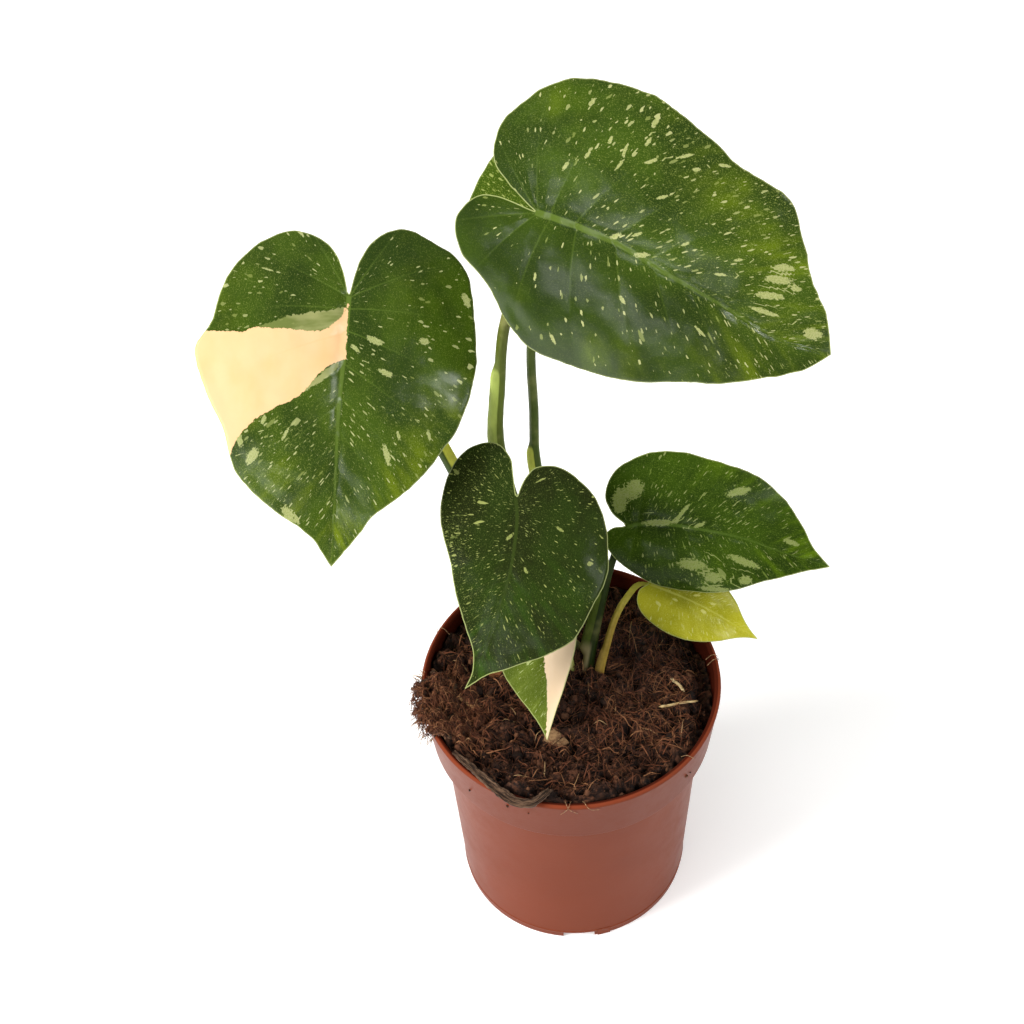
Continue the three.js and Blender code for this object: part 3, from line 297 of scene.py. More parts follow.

# Colours and markings of each blade, as 8-bit screen colours. Flecks listed here are the largest ones:
# x, y, half length, half width and turn, in mm and radians on the flat leaf. Busy is how thick the
# scattered flecks lie: everywhere, towards the tip, and towards the left margin. Thick and sunny are
# soft spots with more flecks or a brighter green: x, y, radius in mm and strength. Cream and grey are
# outlines of the sectors in those colours. Shade is the colour of a painted shade laid over the right
# half, and fine makes flecks smaller.
LEAF_LOOKS = {
    "upper_right": dict(
        slot="leaf_green", quilt=1.0, shine=0.3, vein=0.34,
        dark=(34, 51, 6), mid=(50, 70, 9), bright=(96, 114, 12), rib=(78, 96, 32), rib_width=(1.2, 0.25),
        # Shade here is painted shade for the right half of the blade.
        fleck=(156, 158, 104), busy=(0.4, 0.5, 0.3), shade=(20, 32, 2),
        thick=[(72, 36, 22, 0.3), (40, 44, 14, 0.2), (96, -8, 14, 0.3)],
        sunny=[(40, -38, 12, 0.7), (-11, 39, 10, 0.5), (86, 20, 20, 0.4), (6, -28, 7, 0.4),
               (88, -14, 14, 0.6), (60, 44, 14, 0.5)],
        flecks=[(0, 44, 2, 0.9, 1.5), (24.5, 48, 2.1, 1, 1.45), (13, 35.5, 1.8, 0.7, 1.5),
                (19.5, 34.5, 3, 0.6, 1.62), (20, 29, 2.6, 0.5, 1.3), (25.5, 41, 2, 0.7, 1.35),
                (8, 27, 1.8, 0.7, 1.4), (2.5, 20, 2.4, 0.7, 1.4), (29.5, 35.5, 2.6, 0.7, 0.8),
                (39.5, 42.5, 3, 0.6, 0.7), (45, 40, 1.8, 0.7, 0.5), (53, 45.5, 2.4, 0.6, 0.3),
                (38.5, 26, 2.2, 0.6, 0.7), (36.5, 10.5, 2.2, 0.6, 0.8), (29.5, 6, 2.6, 1, 0.8),
                (41, 4.5, 3, 1.1, 0.5), (53, 15, 1.6, 0.6, 0.8), (72, 18, 1.8, 0.5, 0.5),
                (68.5, 10.5, 2.2, 0.6, 0.4), (87.5, 22, 4.2, 1.4, 0.3), (88, 17.5, 5.3, 1.6, 0.3),
                (95, 17, 2, 0.9, 0.3), (87.5, 11, 5.3, 1.4, 0.3), (88.5, 5, 5.6, 0.9, 0.1),
                (108, 4.5, 3.7, 2.3, 0.1), (9.5, -20.5, 1.6, 0.6, 1.9), (41.5, -13, 1.8, 0.8, -0.5),
                (71, -11, 3, 0.5, -0.4), (24, -39, 2.6, 0.7, -0.8)],
    ),
    "left": dict(
        slot="leaf_cream_sector", quilt=0.55, shine=0.3, vein=0.4,
        dark=(36, 54, 8), mid=(54, 74, 11), bright=(98, 114, 13), rib=(86, 106, 38), rib_width=(0.9, 0.3),
        fleck=(156, 160, 106), busy=(0.5, 0.15, -0.05),
        thick=[(66, -26, 18, 0.6), (-8, -34, 14, 0.4), (56, 30, 14, 0.3)],
        sunny=[(64, 35, 14, 0.55), (90, 2, 10, 0.4), (4, -51, 10, 0.7), (37, 43, 10, 0.4),
               (71, -22, 12, 0.4), (-6, 26, 10, 0.4)],
        flecks=[(16, 10.5, 3.4, 1.3, 1.15), (15, 29.5, 2, 1.4, 1.4), (28, 15.5, 3.2, 1.2, 1.25),
                (19.5, 3.5, 2.3, 0.8, 0.85), (59, 18, 4.6, 1.2, 0.33), (50.5, 33.5, 2.4, 0.7, 0.33),
                (-2.5, 45, 3.1, 1.4, 0.5), (51.5, 22, 1.9, 0.6, 0.25), (56.5, -38.5, 3.5, 1.3, 0.4),
                (63, -33, 4, 1.9, 2.7), (84.5, -18, 4, 2, 0.6), (86.5, -14.5, 2.2, 0.8, 0.4),
                (48.5, -29.5, 2, 0.8, 2.85), (53.5, -21, 2.7, 0.7, 2.7), (-9, -31.5, 2.6, 0.4, 1.3)],
        cream=[(16, -62), (15.5, -44), (15.8, -40), (13.6, -35.5), (13.6, -26), (13.8, -14.5),
               (13.4, -8.5), (8, -2.5), (3, -0.9), (2, 0), (23.5, 0), (25, -3.5), (27, -7), (31.5, -11),
               (37, -15), (41.5, -20.5), (42.5, -24), (48, -32), (51, -35), (54, -37.5), (58, -40),
               (65, -42), (72, -60), (40, -72)],
        grey=[(15.5, -38), (12, -31), (8.4, -22), (6, -10), (3.6, -1), (9.7, -2.5), (14, -8.5),
              (13.7, -14.5), (15, -8), (23, -2.5), (27, -2.3), (33.5, -9.5), (37.5, -16), (31, -10.5),
              (23.5, -2), (16, -10), (15, -26)],
    ),
    "centre": dict(
        slot="leaf_dark", quilt=0.25, shine=0.09, vein=0.2, fine=0.6,
        dark=(27, 33, 10), mid=(33, 46, 12), bright=(42, 66, 12), rib=(46, 58, 20), rib_width=(0.7, 0.2),
        fleck=(134, 140, 78), busy=(0.6, -0.1, -0.3),
        thick=[(22, -20, 8, 1.1), (44, -5, 7, 1.0), (-6, -20, 10, 0.4), (34, -14, 8, 0.5),
               (29, 36, 6, 0.4)],
        sunny=[(64, -2, 9, 1.0), (36, 14, 14, 0.7), (20, 26, 10, 0.5), (-6, 22, 8, 0.3)],
        flecks=[(6, 20, 1.9, 0.6, 1.35), (15.5, 35, 1.2, 0.9, 1.9), (25, 12, 1.6, 0.6, 0.8),
                (14.5, 2, 2, 0.7, 2.6), (-10, 7, 2.3, 0.4, 2.3)],
    ),
    "right": dict(
        slot="leaf_green", quilt=0.45, shine=0.08, vein=0.25,
        dark=(32, 48, 8), mid=(46, 66, 10), bright=(86, 112, 12), rib=(68, 88, 30), rib_width=(0.7, 0.2),
        fleck=(124, 132, 78), busy=(0.6, 0.1, 0.0),
        thick=[(40, 18, 14, 0.4), (12, 20, 10, 0.4), (34, -11, 9, 0.9)],
        sunny=[(65, 6, 12, 0.35), (21, 33, 12, 0.4)],
        flecks=[(-1, 15, 4.6, 3.6, 1.05), (-5.5, 9.5, 5.6, 3.4, 1.65), (11.5, 4.5, 7, 1.4, 0.27),
                (19.5, 10.5, 4.5, 0.9, 1.13), (39.5, 23.5, 5.4, 1.6, 0.46), (27.5, 7.5, 2.7, 0.9, 0.64),
                (65, 7.5, 3.8, 1, -0.2), (48, -3.5, 7.7, 1.6, -0.19), (50.5, -11, 2.9, 2, 0),
                (28, -9, 6, 2.6, 0.1), (37.5, -12.5, 4, 2.6, 0), (39, -17.5, 7.2, 1.2, 0.22)],
    ),
    "low_right": dict(
        slot="leaf_lime", quilt=0.2, shine=0.14, vein=0.1,
        dark=(132, 132, 22), mid=(166, 162, 36), bright=(182, 178, 62), rib=(182, 180, 80),
        rib_width=(0.4, 0.15), fleck=(192, 190, 108), busy=(0.6, 0.0, 0.0),
        thick=[(20, 2, 14, 0.6)],
        flecks=[(6, -5.5, 1.5, 0.7, -0.4), (23.5, 0, 1.5, 0.7, 0.1), (25.5, 4.5, 1.3, 0.6, 0.3),
                (11, -1, 1.4, 0.5, 0), (18, 4.5, 1.3, 0.5, 0.5), (10, 8, 1.2, 0.5, 0.8)],
    ),
    "low_front": dict(
        slot="leaf_half_cream", quilt=0.2, shine=0.18, vein=0.2,
        dark=(68, 82, 22), mid=(86, 100, 30), bright=(116, 130, 50), rib=(120, 134, 70),
        rib_width=(0.4, 0.2), fleck=(170, 178, 118), busy=(0.6, 0.0, 0.0),
        creams=((216, 191, 160), (210, 181, 144)),
        flecks=[(15, -6, 2, 0.7, -0.7)],
        cream=[(-20, 0.4), (15, -0.4), (25, 1.3), (33, 1.6), (40, 0.4), (47, -0.2), (60, 0),
               (60, 40), (-20, 40)],
    ),
    "back": dict(
        slot="leaf_fresh", quilt=0.5, shine=0.22, vein=0.4,
        dark=(44, 62, 9), mid=(58, 80, 12), bright=(100, 116, 22), rib=(96, 112, 40),
        rib_width=(1.0, 0.3), fleck=(150, 160, 84), busy=(1.7, 0.0, 0.0),
        flecks=[(20, 15, 2.4, 0.8, 0.9)],
    ),
}

# Scattered flecks: size of their cells along the veins' flow, share of cells with one, least and greatest
# radius and raggedness
SCATTERED = [(1.0, 0.6, (0.07, 0.27), 0.5), (2.4, 0.32, (0.1, 0.46), 0.55), (5.5, 0.13, (0.2, 0.8), 0.5)]
CREAMS = ((220, 182, 136), (216, 169, 112))
GREY_GREENS = ((106, 116, 58), (146, 148, 94))
PALE_EDGE = (168, 176, 110)
UNDERSIDE = (104, 130, 74)
PETIOLE_DARK = (40, 46, 20)
PETIOLE_PALE = (190, 186, 120)
DIRT = (104, 78, 48)

# Petiole colours: at the soil, in the middle, at the blade, on the sheath's wing, and, where it is
# paler, at the sheath's foot.
PETIOLE_LOOKS = {
    "upper_right": ((84, 98, 36), (80, 92, 32), (74, 68, 24), (142, 156, 74)),
    "left": ((88, 102, 40), (62, 80, 32), (176, 172, 66), (182, 182, 68)),
    "centre": ((84, 98, 40), (66, 82, 32), (140, 144, 84), (144, 152, 76)),
    "right": ((40, 54, 16), (34, 48, 12), (42, 56, 16), (78, 94, 34), (152, 142, 104)),
    "low_right": ((160, 112, 58), (158, 134, 58), (166, 160, 62), (176, 146, 76)),
    "low_front": ((136, 130, 78), (146, 150, 80), (166, 170, 100), (176, 168, 116)),
    "back": ((84, 98, 36), (66, 82, 28), (64, 74, 28), (178, 184, 78)),
}

# Small pieces on the mix, as in the frame
SLABS = {
    "wood_chip": dict(
        outline=[(-5, -2.4), (2, -3.6), (5.2, -0.6), (1, 2.4), (-2.5, 3.6), (-5.4, 1.2)],
        thickness=1.4, centre=(-6.5, -23.2, 114.2), turn=-0.35, tilt=0.18,
        tones=((84, 58, 38), (138, 108, 74)),
    ),
    "bark_chip": dict(
        outline=[(-3.2, -1.8), (0.6, -2.6), (3.4, -0.6), (2.6, 1.9), (-1.4, 2.5)],
        thickness=1.6, centre=(-30.6, 8.2, 115.2), turn=0.5, tilt=0.3,
        tones=((92, 52, 30), (150, 96, 58)),
    ),
}
TWIGS = {
    "twig_dark": dict(ends=[(-28.8, 4.6, 115.3), (-38, -8.6, 116.6)], radius=1.05, slot="dark_twig",
                      tones=((38, 24, 16), (74, 48, 32))),
    "twig_tan": dict(ends=[(-47.4, -3, 119.9), (-39, -9, 117.2)], radius=0.9, slot="straw",
                     tones=((128, 92, 56), (184, 146, 98))),
    "straw_long": dict(ends=[(34.6, -11.2, 115.9), (50.4, -8.4, 115.0)], radius=0.6, slot="straw",
                       tones=((150, 122, 78), (204, 180, 132))),
    "straw_short": dict(ends=[(40.4, 3.2, 115.6), (45.4, -3.6, 114.8)], radius=0.7, slot="straw",
                        tones=((156, 130, 86), (212, 190, 144))),
}
SLAB_POINTS = 72
# Rings of a slab from its lower middle to its upper one: share of the outline, and of half its thickness
SLAB_LAYERS = ((0.25, -1), (0.6, -1), (0.9, -1), (1, -0.7), (1, 0), (1, 0.7), (0.9, 1), (0.75, 1),
               (0.55, 1), (0.35, 1), (0.15, 1))
TWIG_TAPER = 0.75
TWIG_RINGS = 40
TWIG_SIDES = 14
BARK_ROUTE = [(-47.6, -31.6, 119.4), (-42, -38.6, 120.6), (-36, -46.4, 122), (-30.2, -53, 122.5),
              (-23.8, -58.2, 122.4), (-17.6, -58.8, 122.2), (-12.9, -55, 121.6), (-10.6, -51.6, 119.4)]
BARK_HALF_WIDTH = [0.9, 1.4, 1.6, 1.9, 2.1, 2.0, 1.6, 1.1]
BARK_HALF_THICKNESS = 0.9
BARK_SCOOP = 0.9
BARK_RINGS = 110
BARK_SIDES = 28
BARK_GRAIN = 9

# Loose matter made only here, with counts and sizes in mm
SOIL_RINGS = 120
SOIL_SEGMENTS = 520
SOIL_GAP = 0.35
# Height, size and seed of the mix's clods and grains, and depth, size and seed of its pits
CLODS = ((3.6, 8, 1), (2.2, 3.6, 3))
CLODS_MIDDLE = 2.1
GRAINS = (0.55, 1.4, 2)
PITS = (4.2, 5, 5)
PIT_STEP = (0.16, 0.5)
# Depth of the gap and height of the bank at the rim, the radii where each starts and is full, the bearing
# it faces in radians, and the cosines of the angle from there at which it starts and is full
RIM_GAP = (3.4, (47, 52), 0.25, (0.5, 0.95))
RIM_BANK = (4.6, (40, 54), -1.45, (0.2, 0.85))
CLUMP_RISE = 6.5
CLUMP_SLOPE = (14, 19)
LOOSE_REACH = 54.5
OVER_RIM = 54
LIP_CLEARANCE = 0.4
LUMP_SINK = 0.7
LUMP_STRETCH = ((0.45, 0.45, 0.4), (1.5, 1.5, 0.8))
CLUMP_HANG = 3.5
HANG_RADII = (60, 66)
# Count, least and greatest radius, rings and sides of each lump, shift inwards and spread
CLUMP_LUMPS = [(26, (1.4, 2.6), (15, 22), 1.5, 0.7), (420, (0.4, 1.3), (7, 11), 3, 1.0),
               (160, (0.4, 1.0), (7, 11), 8, 1.1)]
FRAY_COUNT = 52
FRAY_RING = (8.2, 17, 1)
FRAY_DEG = (110, 260)
FRAY_LENGTHS = (2, 4.6)
FRAY_SAG = 1.6
BED = dict(centre=(0, 0), radii=(54, 54))
ON_CLUMP = dict(centre=(-47.5, -8), radii=(17, 20))
TO_RIGHT = dict(centre=(26, 8), radii=(27, 38))
FIBRE_STEPS = 9
FIBRE_SIDES = 3
# Curl is the spread of their turning in radians per mm, arch the least and greatest rise in mm. Tones up
# to 0 are the darkest and 1 is the palest.
FIBRES = [
    dict(**BED, count=2300, lengths=(2, 6), widths=(0.13, 0.31), curl=0.05, arch=(0, 2),
         tones=(-0.5, 0.4)),
    dict(**BED, count=900, lengths=(3, 9), widths=(0.15, 0.4), curl=0.03, arch=(0, 3),
         tones=(-0.1, 0.7)),
    dict(**BED, count=420, lengths=(4, 14), widths=(0.08, 0.14), curl=0.14, arch=(0, 2),
         tones=(0.4, 0.8)),
    dict(**BED, count=70, lengths=(4, 12), widths=(0.15, 0.37), curl=0.02, arch=(0.3, 3),
         tones=(0.6, 1)),
    dict(**TO_RIGHT, count=620, lengths=(5, 16), widths=(0.08, 0.18), curl=0.12, arch=(0, 2.5),
         tones=(0.35, 0.8)),
    dict(**ON_CLUMP, count=1100, lengths=(2, 7), widths=(0.09, 0.27), curl=0.12, arch=(0, 3),
         tones=(0.1, 0.8)),
    dict(**ON_CLUMP, count=1500, lengths=(2, 6), widths=(0.11, 0.29), curl=0.12, arch=(0, 1.6),
         tones=(0.0, 0.75), lift=1.3),
]
# Piece, count, rings and sides of each grain, and least and greatest radius
CRUMBS = [
    ("soil_grains", 3400, (3, 6), (0.3, 1.2)),
    ("soil_lumps", 700, (7, 11), (0.8, 2.4)),
]
CRUMB_BED = dict(centre=(-3, 0), radii=(61, 56))
# Bearing in degrees, height and radius of the crumbs that stick to the collar
COLLAR_CRUMBS = [(-136, 106.2, 0.6), (-117.5, 111.6, 0.8), (-109, 111, 0.5), (-41.7, 106.9, 0.7),
                 (-39, 106.4, 0.5)]
# Bearing in degrees, height of the free end and its drift in degrees, for hairs that hang over the lip
RIM_HAIRS = [(-95, 115.4, 5), (-92.5, 114.5, -4), (-88, 117, 6), (-41.4, 116, 4), (7, 117.4, 3),
             (10, 116.5, -3), (150, 114, 3)]
HAIR_DRIFTS = (0, 0.1, 0.25, 0.5, 1)
HAIR_REACHES = (55.5, 58.2, 60.15, 60.35)
HAIR_HEIGHTS = (117.5, 120.5, 120, 118.2)
HAIR_RADIUS = 0.16
HAIR_RINGS = 14
HAIR_SIDES = 5


def unit(v):
    v = np.asarray(v, float)
    return v / np.linalg.norm(v, axis=-1, keepdims=True)


def ease(value, low, high):
    """0 at low, 1 at high, with soft ends; low may be the larger."""
    t = np.clip((np.asarray(value, float) - low) / (high - low), 0, 1)
    return t * t * (3 - 2 * t)


def hill(distance, width):
    """1 at no distance, falling softly away over the width."""
    return np.exp(-(distance / width) ** 2)


def round_turn(count):
    """Angles spread evenly over a turn."""
    return np.linspace(0, 2 * math.pi, count, endpoint=False)


def polar(radius, bearing, height):
    """Points at a radius and bearing round the pot's axis."""
    return np.stack(np.broadcast_arrays(radius * np.cos(bearing), radius * np.sin(bearing), height), -1)


def linear(colour):
    """Linear colour of an 8-bit screen colour."""
    return tuple(((c / 255 + 0.055) / 1.055) ** 2.4 for c in colour) + (1.0,)


def rough_noise(points, size, octaves=2, seed=0):
    """Smooth noise of about -1 to 1 at places in mm, with bumps of the given size."""
    shift = Vector((seed * 17.3, seed * 5.1, seed * 9.7))
    return np.array([
        noise.fractal(Vector(p) / size + shift, 0.8, 2.0, octaves) for p in np.asarray(points, float)
    ])


class Curve:
    """Centripetal Catmull-Rom curve through points, read by share of its length."""

    def __init__(self, points, steps=48):
        p = np.asarray(points, float)
        p = np.vstack([2 * p[0] - p[1], p, 2 * p[-1] - p[-2]])
        share = np.linspace(0, 1, steps, endpoint=False)[:, None]
        spans = []
        for a, b, c, d in zip(p, p[1:], p[2:], p[3:]):
            ab, bc, cd = (math.sqrt(np.linalg.norm(q - r)) for q, r in ((a, b), (b, c), (c, d)))
            start = (b - a) / ab - (c - a) / (ab + bc) + (c - b) / bc
            end = (c - b) / bc - (d - b) / (bc + cd) + (d - c) / cd
            start, end = start * bc, end * bc
            spans.append(b + start * share + (3 * (c - b) - 2 * start - end) * share ** 2
                         + (2 * (b - c) + start + end) * share ** 3)
        self.dense = np.vstack([*spans, p[-2]])
        run = np.concatenate([[0], np.cumsum(np.linalg.norm(np.diff(self.dense, axis=0), axis=1))])
        self.length = run[-1]
        self.share = run / run[-1]

    def at(self, share):
        return np.stack([np.interp(share, self.share, c) for c in self.dense.T], -1)

    def heading(self, share, step=0.006):
        share = np.asarray(share, float)
        return unit(self.at(np.minimum(share + step, 1)) - self.at(np.maximum(share - step, 0)))


class Look:
    """One material: short calls for its nodes, and a colour on which others are laid."""

    def __init__(self, name, colour):
        self.material = bpy.data.materials.new(name)
        self.material.use_nodes = True
        self.tree = self.material.node_tree
        self.shader = self.tree.nodes["Principled BSDF"]
        self.colour = colour

    def plug(self, socket, value):
        if isinstance(value, bpy.types.NodeSocket):
            self.tree.links.new(value, socket)
        else:
            socket.default_value = value

    def node(self, kind, sockets, **settings):
        made = self.tree.nodes.new("ShaderNode" + kind)
        for key, value in settings.items():
            setattr(made, key, value)
        for key, value in sockets.items():
            self.plug(made.inputs[key], value)
        return made

    def lay(self, colour, mask):
        """Lays a colour over the look's own where the mask is 1."""
        self.colour = self.mix(mask, self.colour, colour)

    def step(self, colour, *slide):
        """Lays a colour over the look's own by a soft step, as slide takes it."""
        self.lay(colour, self.slide(*slide))

    def finish(self, **sockets):
        """Sets the shader's colour and other sockets; an underscore in a name stands for a space."""
        for key, value in dict(Base_Color=self.colour, **sockets).items():
            self.plug(self.shader.inputs[key.replace("_", " ")], value)
        return self

    def reckon(self, operation, *values):
        return self.node("Math", dict(enumerate(values)), operation=operation).outputs[0]

    def sum(self, a, b):
        return self.reckon("ADD", a, b)

    def minus(self, a, b):
        return self.reckon("SUBTRACT", a, b)

    def times(self, a, b):
        return self.reckon("MULTIPLY", a, b)

    def size(self, a):
        return self.reckon("ABSOLUTE", a)

    def below(self, a, b):
        return self.reckon("LESS_THAN", a, b)

    def nearest(self, a):
        return self.reckon("ROUND", a)

    def vector(self, operation, sockets):
        return self.node("VectorMath", sockets, operation=operation).outputs

    def slide(self, value, low, high, start=0.0, end=1.0):
        """Soft step from start at low to end at high."""
        return self.node("MapRange", {0: value, 1: low, 2: high, 3: start, 4: end},
                         interpolation_type="SMOOTHSTEP").outputs[0]

    def mix(self, share, a, b):
        a, b = (linear(c) if isinstance(c, tuple) else c for c in (a, b))
        return self.node("Mix", {0: share, 6: a, 7: b}, data_type="RGBA").outputs[2]

    def noise(self, place, scale, detail=2.0, roughness=0.5):
        return self.node("TexNoise", {"Vector": place, "Scale": scale, "Detail": detail,
                                      "Roughness": roughness}).outputs[0]

    def object_place(self):
        """Place in the frame, in metres."""
        return self.node("TexCoord", {}).outputs["Object"]

    def stretched(self, place, x, y, z):
        return self.node("Mapping", {"Vector": place, "Scale": (x, y, z)}).outputs[0]

    def attribute(self, name):
        return self.node("Attribute", {}, attribute_name=name).outputs["Vector"]

    def value(self, name):
        return self.node("Attribute", {}, attribute_name=name).outputs["Fac"]

    def split(self, vector):
        return self.node("SeparateXYZ", {0: vector}).outputs[:3]

    def join(self, x, y):
        return self.node("CombineXYZ", {0: x, 1: y}).outputs[0]

    def bump(self, height, distance, strength):
        return self.node("Bump", {"Height": height, "Distance": distance,
                                  "Strength": strength}).outputs[0]

    def torn(self, place, scale, height, roughness=0.65):
        """Noise round 0 that frays the edge of a mask."""
        return self.times(self.minus(self.noise(place, scale, 4.0, roughness), 0.5), height)

    def flecks(self, place, cell, share, radii, ragged):
        """Scattered spots: (mask, random tone). cell and radii are in the units of place."""
        wobble = self.node("TexNoise", {"Vector": place, "Scale": 2.2 / cell, "Detail": 2.0}).outputs[1]
        nudge = self.vector("SUBTRACT", {0: wobble, 1: (0.5, 0.5, 0.5)})[0]
        nudge = self.vector("SCALE", {0: nudge, "Scale": ragged * cell})[0]
        moved = self.vector("ADD", {0: place, 1: nudge})[0]
        cells = self.node("TexVoronoi", {"Vector": moved, "Scale": 1 / cell}, voronoi_dimensions="2D")
        chance, width, tone = self.node("SeparateColor", {0: cells.outputs["Color"]}).outputs[:3]
        low, high = (r / cell for r in radii)
        reach = self.sum(self.times(self.times(width, width), high - low), low)
        inside = self.slide(self.minus(cells.outputs["Distance"], reach), 0.012, -0.012)
        return self.times(inside, self.below(chance, share)), tone


def new_mesh(name, points, faces):
    """A mesh from points in mm."""
    mesh = bpy.data.meshes.new(name)
    mesh.from_pydata((np.asarray(points, float) * MM).tolist(), [], faces)
    return mesh


def add_object(name, data):
    made = bpy.data.objects.new(name, data)
    bpy.context.scene.collection.objects.link(made)
    return made


def add_piece(name, points, faces, look, stands_for=(), attributes=None):
    """A smooth piece from points in mm, riding on the plant's one body."""
    mesh = new_mesh(name, points, faces)
    for key, values in (attributes or {}).items():
        values = np.asarray(values, np.float32)
        vector = values.ndim == 2
        made = mesh.attributes.new(key, "FLOAT_VECTOR" if vector else "FLOAT", "POINT")
        made.data.foreach_set("vector" if vector else "value", values.ravel())
    mesh.materials.append(look.material)
    mesh.shade_smooth()
    piece = add_object(name, mesh)
    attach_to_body(piece, BODY)
    if stands_for:
        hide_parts(*stands_for)
    return piece


def loft(rings):
    """Points and faces of a closed skin over rings (ring, side, 3), with a fan at each end. Rings turn
    counter-clockwise seen from the last one."""
    count, sides, _ = rings.shape
    points = np.vstack([rings.reshape(-1, 3), rings[0].mean(0), rings[-1].mean(0)])
    row, column = np.meshgrid(np.arange(count - 1), np.arange(sides), indexing="ij")
    a = row * sides + column
    b = row * sides + (column + 1) % sides
    faces = np.stack([a, b, b + sides, a + sides], -1).reshape(-1, 4).tolist()
    low, last = count * sides, (count - 1) * sides
    for j in range(sides):
        k = (j + 1) % sides
        faces.append([low, k, j])
        faces.append([low + 1, last + j, last + k])
    return points, faces


def sweep(centres, headings, side, reach):
    """Rings round a path. side points to angle 0, and reach (ring, side) is the radius."""
    headings = np.broadcast_to(headings, centres.shape)
    side = unit(side - np.sum(side * headings, -1, keepdims=True) * headings)
    across = np.cross(headings, side)
    angle = round_turn(reach.shape[1])[None, :, None]
    return (centres[:, None] + reach[..., None] * (np.cos(angle) * side[:, None]
                                                   + np.sin(angle) * across[:, None]))


def off_axis(points, centres, sides):
    """The way from the middle of its ring out to each point of a loft."""
    return points - np.vstack([np.repeat(centres, sides, 0), centres[0], centres[-1]])


def join_meshes(parts):
    """One list of points and faces from many."""
    points, faces, start = [], [], 0
    for some_points, some_faces in parts:
        points.append(some_points)
        faces.extend([[i + start for i in face] for face in some_faces])
        start += len(some_points)
    return np.vstack(points), faces


# Camera, floor and light

def camera_axes():
    tilt, roll = math.radians(CAMERA_TILT), math.radians(CAMERA_ROLL)
    ahead = np.array([0, math.cos(tilt), -math.sin(tilt)])
    right = np.array([1.0, 0, 0])
    down = np.cross(ahead, right)
    turned_right = math.cos(roll) * right - math.sin(roll) * down
    turned_down = math.sin(roll) * right + math.cos(roll) * down
    return turned_right, -turned_down, -ahead


def add_camera():
    lens = bpy.data.cameras.new("camera")
    lens.sensor_width = SENSOR_MM
    lens.lens = SENSOR_MM * FOCAL_PIXELS / FRAME_PIXELS
    lens.clip_end = FARTHEST_SEEN * MM
    matrix = Matrix(np.stack(camera_axes(), 1).tolist()).to_4x4()
    matrix.translation = Vector(CAMERA_PLACE) * MM
    camera = add_object("camera", lens)
    camera.matrix_world = matrix
    bpy.context.scene.camera = camera


def add_lamp(name, place, size, power, roll, sheen):
    lamp = bpy.data.lights.new(name, "AREA")
    lamp.shape = "ELLIPSE"
    lamp.size, lamp.size_y = (side * MM for side in size)
    lamp.energy = power
    made = add_object(name, lamp)
    made.location = Vector(place) * MM
    made.visible_glossy = sheen
    facing = (Vector(place) - Vector(AIM)).to_track_quat("Z", "Y").to_matrix()
    made.rotation_euler = (facing @ Matrix.Rotation(math.radians(roll), 3, "Z")).to_euler()


def add_studio():
    world = bpy.data.worlds.new("studio")
    world.use_nodes = True
    background = world.node_tree.nodes["Background"]
    background.inputs["Color"].default_value = (1, 1, 1, 1)
    background.inputs["Strength"].default_value = WORLD_STRENGTH
    bpy.context.scene.world = world
    bpy.context.scene.view_settings.view_transform = "Standard"
    for name, lamp in LAMPS.items():
        add_lamp(name, **lamp)


def add_floor():
    look = Look("floor", FLOOR_WHITES[0])
    look.lay(FLOOR_WHITES[1], look.noise(look.object_place(), 3.0))
    look.finish(Emission_Color=look.colour, Emission_Strength=FLOOR_GLOW, Roughness=0.9)
    half = FLOOR_SIZE / 2
    mesh = new_mesh("floor", [(-half, -half, 0), (half, -half, 0), (half, half, 0), (-half, half, 0)],
                    [(0, 1, 2, 3)])
    mesh.materials.append(look.material)
    floor = add_object("floor", mesh)


# Blades

def leaf_frame(leaf):
    attach = np.array(leaf["attach"], float)
    chord = np.array(leaf["tip"], float) - attach
    reach = np.linalg.norm(chord)
    chord = chord / reach
    up = np.array(leaf["faces"], float)
    up = unit(up - (up @ chord) * chord)
    length = 2 / leaf["droop"] * math.asin(leaf["droop"] * reach / 2)
    half = leaf["droop"] * length / 2
    along = math.cos(half) * chord + math.sin(half) * up
    normal = math.cos(half) * up - math.sin(half) * chord
    return dict(attach=attach, along=along, side=np.cross(up, chord), normal=normal, length=length)


def bend(leaf, place, x, y):
    """Points and upper normals of the bent leaf at flat places."""
    turned = leaf["droop"] * x
    cup = np.where(y > 0, leaf["cup"][0], leaf["cup"][1])
    slope = leaf["fold"] - cup * np.abs(y)
    across = (math.sin(leaf["fold"]) - np.sin(slope)) / cup
    rise = (np.cos(slope) - math.cos(leaf["fold"])) / cup
    out = np.cos(turned)[:, None] * place["normal"] + np.sin(turned)[:, None] * place["along"]
    points = (place["attach"] + (np.sin(turned) / leaf["droop"])[:, None] * place["along"]
              + ((np.cos(turned) - 1) / leaf["droop"])[:, None] * place["normal"]
              + (np.sign(y) * across)[:, None] * place["side"] + rise[:, None] * out)
    lean = np.where(np.abs(y) < 1e-6, 0, slope)
    normals = np.cos(lean)[:, None] * out - (np.sign(y) * np.sin(lean))[:, None] * place["side"]
    return points, normals


def distance_to(line, points):
    """Shortest distance in mm from each flat point to a line of points."""
    best = np.full(len(points), np.inf)
    for a, b in zip(line, line[1:]):
        span = b - a
        t = np.clip((points - a) @ span / max(span @ span, 1e-9), 0, 1)
        best = np.minimum(best, np.linalg.norm(points - a - t[:, None] * span, axis=1))
    return best


